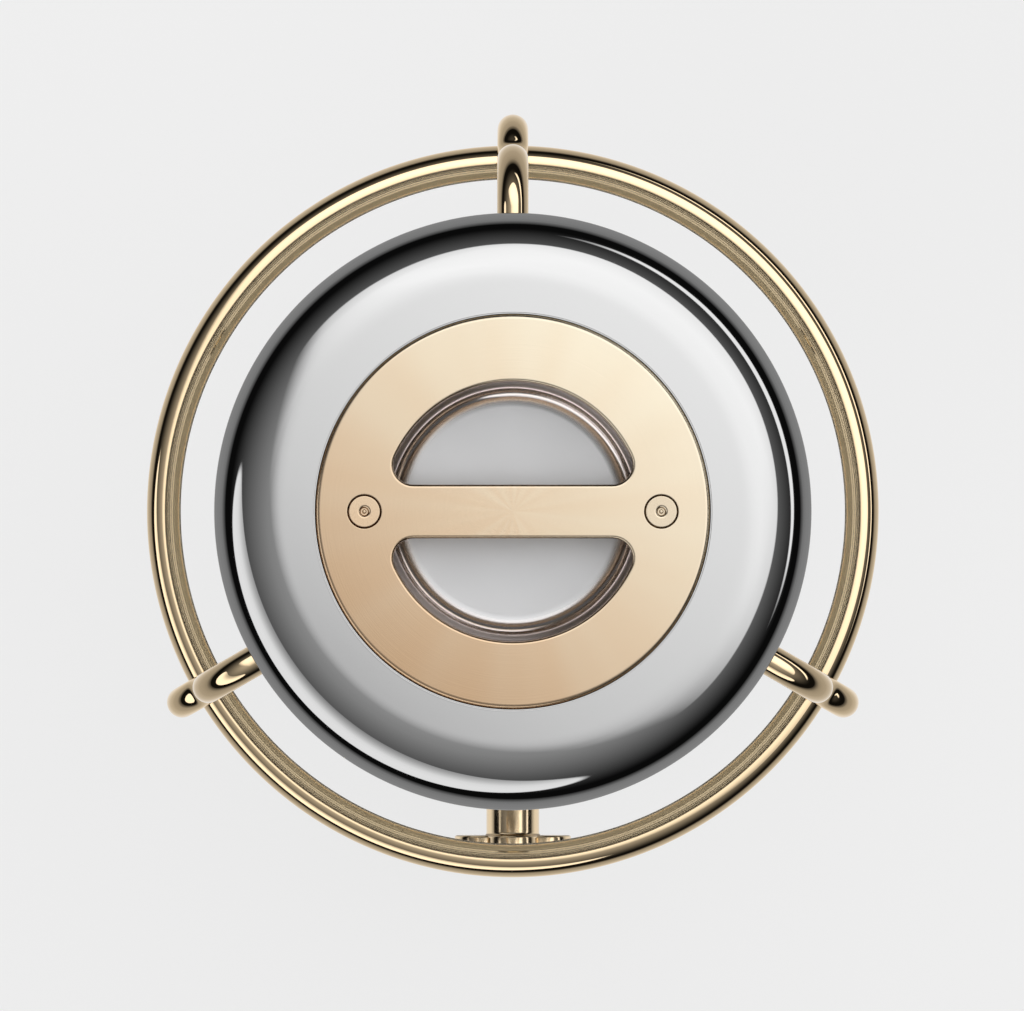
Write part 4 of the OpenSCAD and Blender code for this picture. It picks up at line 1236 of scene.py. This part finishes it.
def overhead_light(tree, xyz):
    """The square light above, in the plane over the lantern, and brighter away from its near edge."""
    height = maths(tree, "MAXIMUM", xyz["Z"], 0.02)
    right = maths(tree, "DIVIDE", xyz["X"], height)
    back = maths(tree, "DIVIDE", xyz["Y"], height)
    along = maths(tree, "DIVIDE", maths(tree, "ADD", right, back), math.sqrt(2))
    across = maths(tree, "DIVIDE", maths(tree, "SUBTRACT", back, right), math.sqrt(2))
    wide = maths(tree, "MULTIPLY_ADD", along, -0.33, 0.94)
    u = maths(tree, "ABSOLUTE", maths(tree, "DIVIDE", maths(tree, "SUBTRACT", along, 0.33), 0.65))
    v = maths(tree, "ABSOLUTE", maths(tree, "DIVIDE", maths(tree, "SUBTRACT", across, 0.09), wide))
    out = maths(tree, "ADD", maths(tree, "POWER", u, 3.0), maths(tree, "POWER", v, 3.0))
    mask = add(tree, "ShaderNodeMapRange", {"Value": out, "From Min": 1.07, "From Max": 0.78},
               interpolation_type="SMOOTHSTEP").outputs[0]
    drawn_in = maths(tree, "MULTIPLY_ADD", maths(tree, "MULTIPLY", across, across), -0.1, along)
    level = ramp(tree, drawn_in, [(-0.22, 0.08), (-0.17, 0.20), (-0.137, 0.30), (-0.11, 0.39), (-0.085, 0.49),
                                  (-0.05, 0.575), (0.0, 0.65), (0.05, 0.72), (0.085, 0.76), (0.13, 0.82),
                                  (0.2, 0.86), (0.5, 0.89), (0.64, 0.86), (0.82, 0.82), (1.0, 0.80)])
    lean = ramp(tree, along, [(-0.1, 0.70), (0.07, 0.36), (0.25, 0.16), (0.45, 0.09), (0.8, 0.05)])
    level = maths(tree, "MULTIPLY", level, maths(tree, "MULTIPLY_ADD", across, lean, 1.0))
    sides = ramp(tree, across, [(-0.67, 0.81), (-0.49, 0.88), (-0.375, 0.95), (-0.25, 1.0), (0.3, 1.0),
                                (0.5, 0.95), (0.62, 0.91), (0.7, 0.83), (0.85, 0.74), (1.0, 0.68)])
    return maths(tree, "MULTIPLY", mask, maths(tree, "MULTIPLY", level, sides))


def soft_box(tree, azimuth, tilt, centre, half, edge):
    """Where a soft box stands: its centre and half size are (azimuth, tilt) in degrees."""
    values = {"Azimuth": azimuth, "Tilt": tilt, "Centre azimuth": centre[0], "Centre tilt": centre[1],
              "Half width": half[0], "Half height": half[1], "Edge": edge}
    return add(tree, "ShaderNodeGroup", values, node_tree=SOFT_BOX).outputs[0]


PALE = 0.847
FAR_WALL = PALE * 0.8
FAR_FLOOR = 0.34
STRIP_LEVEL = 0.79
ROOM_TOP = 0.29
ROOM_DARK = 0.003


def studio():
    world = bpy.data.worlds.new("studio")
    bpy.context.scene.world = world
    world.use_nodes = True
    tree = world.node_tree
    tree.nodes.clear()
    direction = add(tree, "ShaderNodeTexCoord").outputs["Generated"]
    xyz = add(tree, "ShaderNodeSeparateXYZ", {0: direction}).outputs
    tilt = maths(tree, "DEGREES", maths(tree, "ARCCOSINE", xyz["Z"]))
    azimuth = maths(tree, "DEGREES", maths(tree, "ARCTAN2", xyz["Y"], xyz["X"]))
    fade = maths(tree, "MAXIMUM", maths(tree, "SUBTRACT", 1.0, maths(tree, "DIVIDE", tilt, 75.0)), 0.0)
    dome = maths(tree, "MULTIPLY_ADD", maths(tree, "POWER", fade, 1.5), ROOM_TOP, ROOM_DARK)
    low_box = soft_box(tree, azimuth, tilt, (228.0, 58.5), (59.0, 17.0), 0.06)
    low_level = ramp(tree, tilt, [(41.0, 0.17), (48.5, 0.38), (57.0, 0.68), (63.0, 0.73), (72.0, 0.72)])
    strip = soft_box(tree, azimuth, tilt, (28.0, 66.5), (55.0, 4.7), 0.35)
    light = maths(tree, "MAXIMUM", dome, overhead_light(tree, xyz))
    light = maths(tree, "MAXIMUM", light, maths(tree, "MULTIPLY", low_box, low_level))
    light = maths(tree, "MAXIMUM", light, maths(tree, "MULTIPLY", strip, STRIP_LEVEL))
    above = maths(tree, "DIVIDE", light, STEEL)
    ground = add(tree, "ShaderNodeMapRange", {"Value": tilt, "From Min": 85.0, "From Max": 88.0}).outputs[0]
    far_ground = add(tree, "ShaderNodeMapRange", {"Value": tilt, "From Min": 86.0, "From Max": 101.0,
                                                  "To Max": FAR_FLOOR}).outputs[0]
    seen = maths(tree, "MULTIPLY_ADD", ground, maths(tree, "SUBTRACT", far_ground, above), above)
    path = add(tree, "ShaderNodeLightPath").outputs
    backdrop = add(tree, "ShaderNodeMapRange", {"Value": tilt, "From Min": 88.0, "From Max": 60.0,
                                                "To Min": FAR_WALL, "To Max": PALE},
                   interpolation_type="SMOOTHSTEP").outputs[0]
    direct = maths(tree, "MAXIMUM", path["Is Camera Ray"], path["Is Transmission Ray"])
    level = maths(tree, "MULTIPLY_ADD", direct, maths(tree, "SUBTRACT", backdrop, seen), seen)
    shade = add(tree, "ShaderNodeBackground", {"Color": level, "Strength": 1.0})
    add(tree, "ShaderNodeOutputWorld", {"Surface": shade.outputs[0]})


studio()
print("the world is painted with", len(bpy.context.scene.world.node_tree.nodes), "nodes")

# %% [markdown]
# The floor is pale and plain. Most of its tone is light of its own, so that it stays even, and the rest is
# an ordinary matt surface that takes the lantern's soft shadow. Polished metal sees it too, and for metal
# its tone falls off with the distance, as a floor does that is lit by the same lamps as the lantern. From
# below it is clear, so that the underside can be looked at.

# %% The floor
FLOOR_TONE = 0.93
FLOOR_GLOW = 0.8
FLOOR_R = 1400
FLOOR_SIDES = 96


def floor_finish():
    material = bpy.data.materials.new("pale_floor")
    material.use_nodes = True
    tree = material.node_tree
    tree.nodes.clear()
    place = add(tree, "ShaderNodeTexCoord").outputs["Object"]
    away = add(tree, "ShaderNodeVectorMath", {0: place}, operation="LENGTH").outputs["Value"]
    open_tone = add(tree, "ShaderNodeMapRange", {"Value": away, "From Min": 0.2, "From Max": FLOOR_R * MM,
                                                 "To Min": FLOOR_TONE, "To Max": FAR_WALL},
                    interpolation_type="SMOOTHSTEP").outputs[0]
    metal_tone = ramp(tree, away, [(0.12, FLOOR_TONE), (0.25, 0.62), (0.45, 0.46), (0.8, 0.41),
                                   (FLOOR_R * MM, FAR_FLOOR)])
    path = add(tree, "ShaderNodeLightPath").outputs
    mirrored = maths(tree, "GREATER_THAN", path["Is Glossy Ray"], path["Is Transmission Ray"])
    tone = maths(tree, "MULTIPLY_ADD", mirrored, maths(tree, "SUBTRACT", metal_tone, open_tone), open_tone)
    glow = add(tree, "ShaderNodeEmission", {"Color": tone, "Strength": 1.0})
    matt = add(tree, "ShaderNodeBsdfDiffuse", {"Color": tone})
    seen = maths(tree, "MAXIMUM", path["Is Camera Ray"], path["Is Glossy Ray"])
    seen = maths(tree, "MAXIMUM", seen, path["Is Transmission Ray"])
    share = maths(tree, "MULTIPLY", seen, FLOOR_GLOW)
    mixed = add(tree, "ShaderNodeMixShader", {0: share, 1: matt.outputs[0], 2: glow.outputs[0]})
    clear = add(tree, "ShaderNodeBsdfTransparent")
    under = add(tree, "ShaderNodeNewGeometry").outputs["Backfacing"]
    out = add(tree, "ShaderNodeMixShader", {0: under, 1: mixed.outputs[0], 2: clear.outputs[0]})
    add(tree, "ShaderNodeOutputMaterial", {"Surface": out.outputs[0]})
    return material


def floor():
    mesh = bpy.data.meshes.new("floor")
    rim = circle(0, 0, FLOOR_R, FLOOR_SIDES)
    mesh.from_pydata([(x * MM, y * MM, 0) for x, y in rim], [], [list(range(FLOOR_SIDES))])
    mesh.materials.append(floor_finish())
    made = bpy.data.objects.new("floor", mesh)
    bpy.context.scene.collection.objects.link(made)


floor()
print("the floor is", 2 * FLOOR_R, "mm across")

# %% [markdown]
# The camera looks straight down from far away through a long lens, because the picture has almost no
# perspective. The picture's own frame shows 1024 by 1011 points of 0.2008 mm each at the cap.

# %% The camera
POINT = 0.2008
axis_px = (512.84, 511.52)
middle_px = (512.0, 505.5)
far = 9000
edge_z = 288
view_w = 1024 * POINT
sensor_w = 36

camera_data = bpy.data.cameras.new("camera")
camera_data.sensor_width = sensor_w
camera_data.lens = sensor_w * far / view_w
camera_data.clip_start = 0.1
camera_data.clip_end = 100
camera = bpy.data.objects.new("camera", camera_data)
bpy.context.scene.collection.objects.link(camera)
camera.location = Vector(((middle_px[0] - axis_px[0]) * POINT, (axis_px[1] - middle_px[1]) * POINT,
                          edge_z + far)) * MM
bpy.context.scene.camera = camera
bpy.context.scene.view_settings.view_transform = "Standard"
print("the lens is", round(camera_data.lens), "mm long")

# %% [markdown]
# At the end the scene is brought up to date.

# %% The end
bpy.context.view_layer.update()
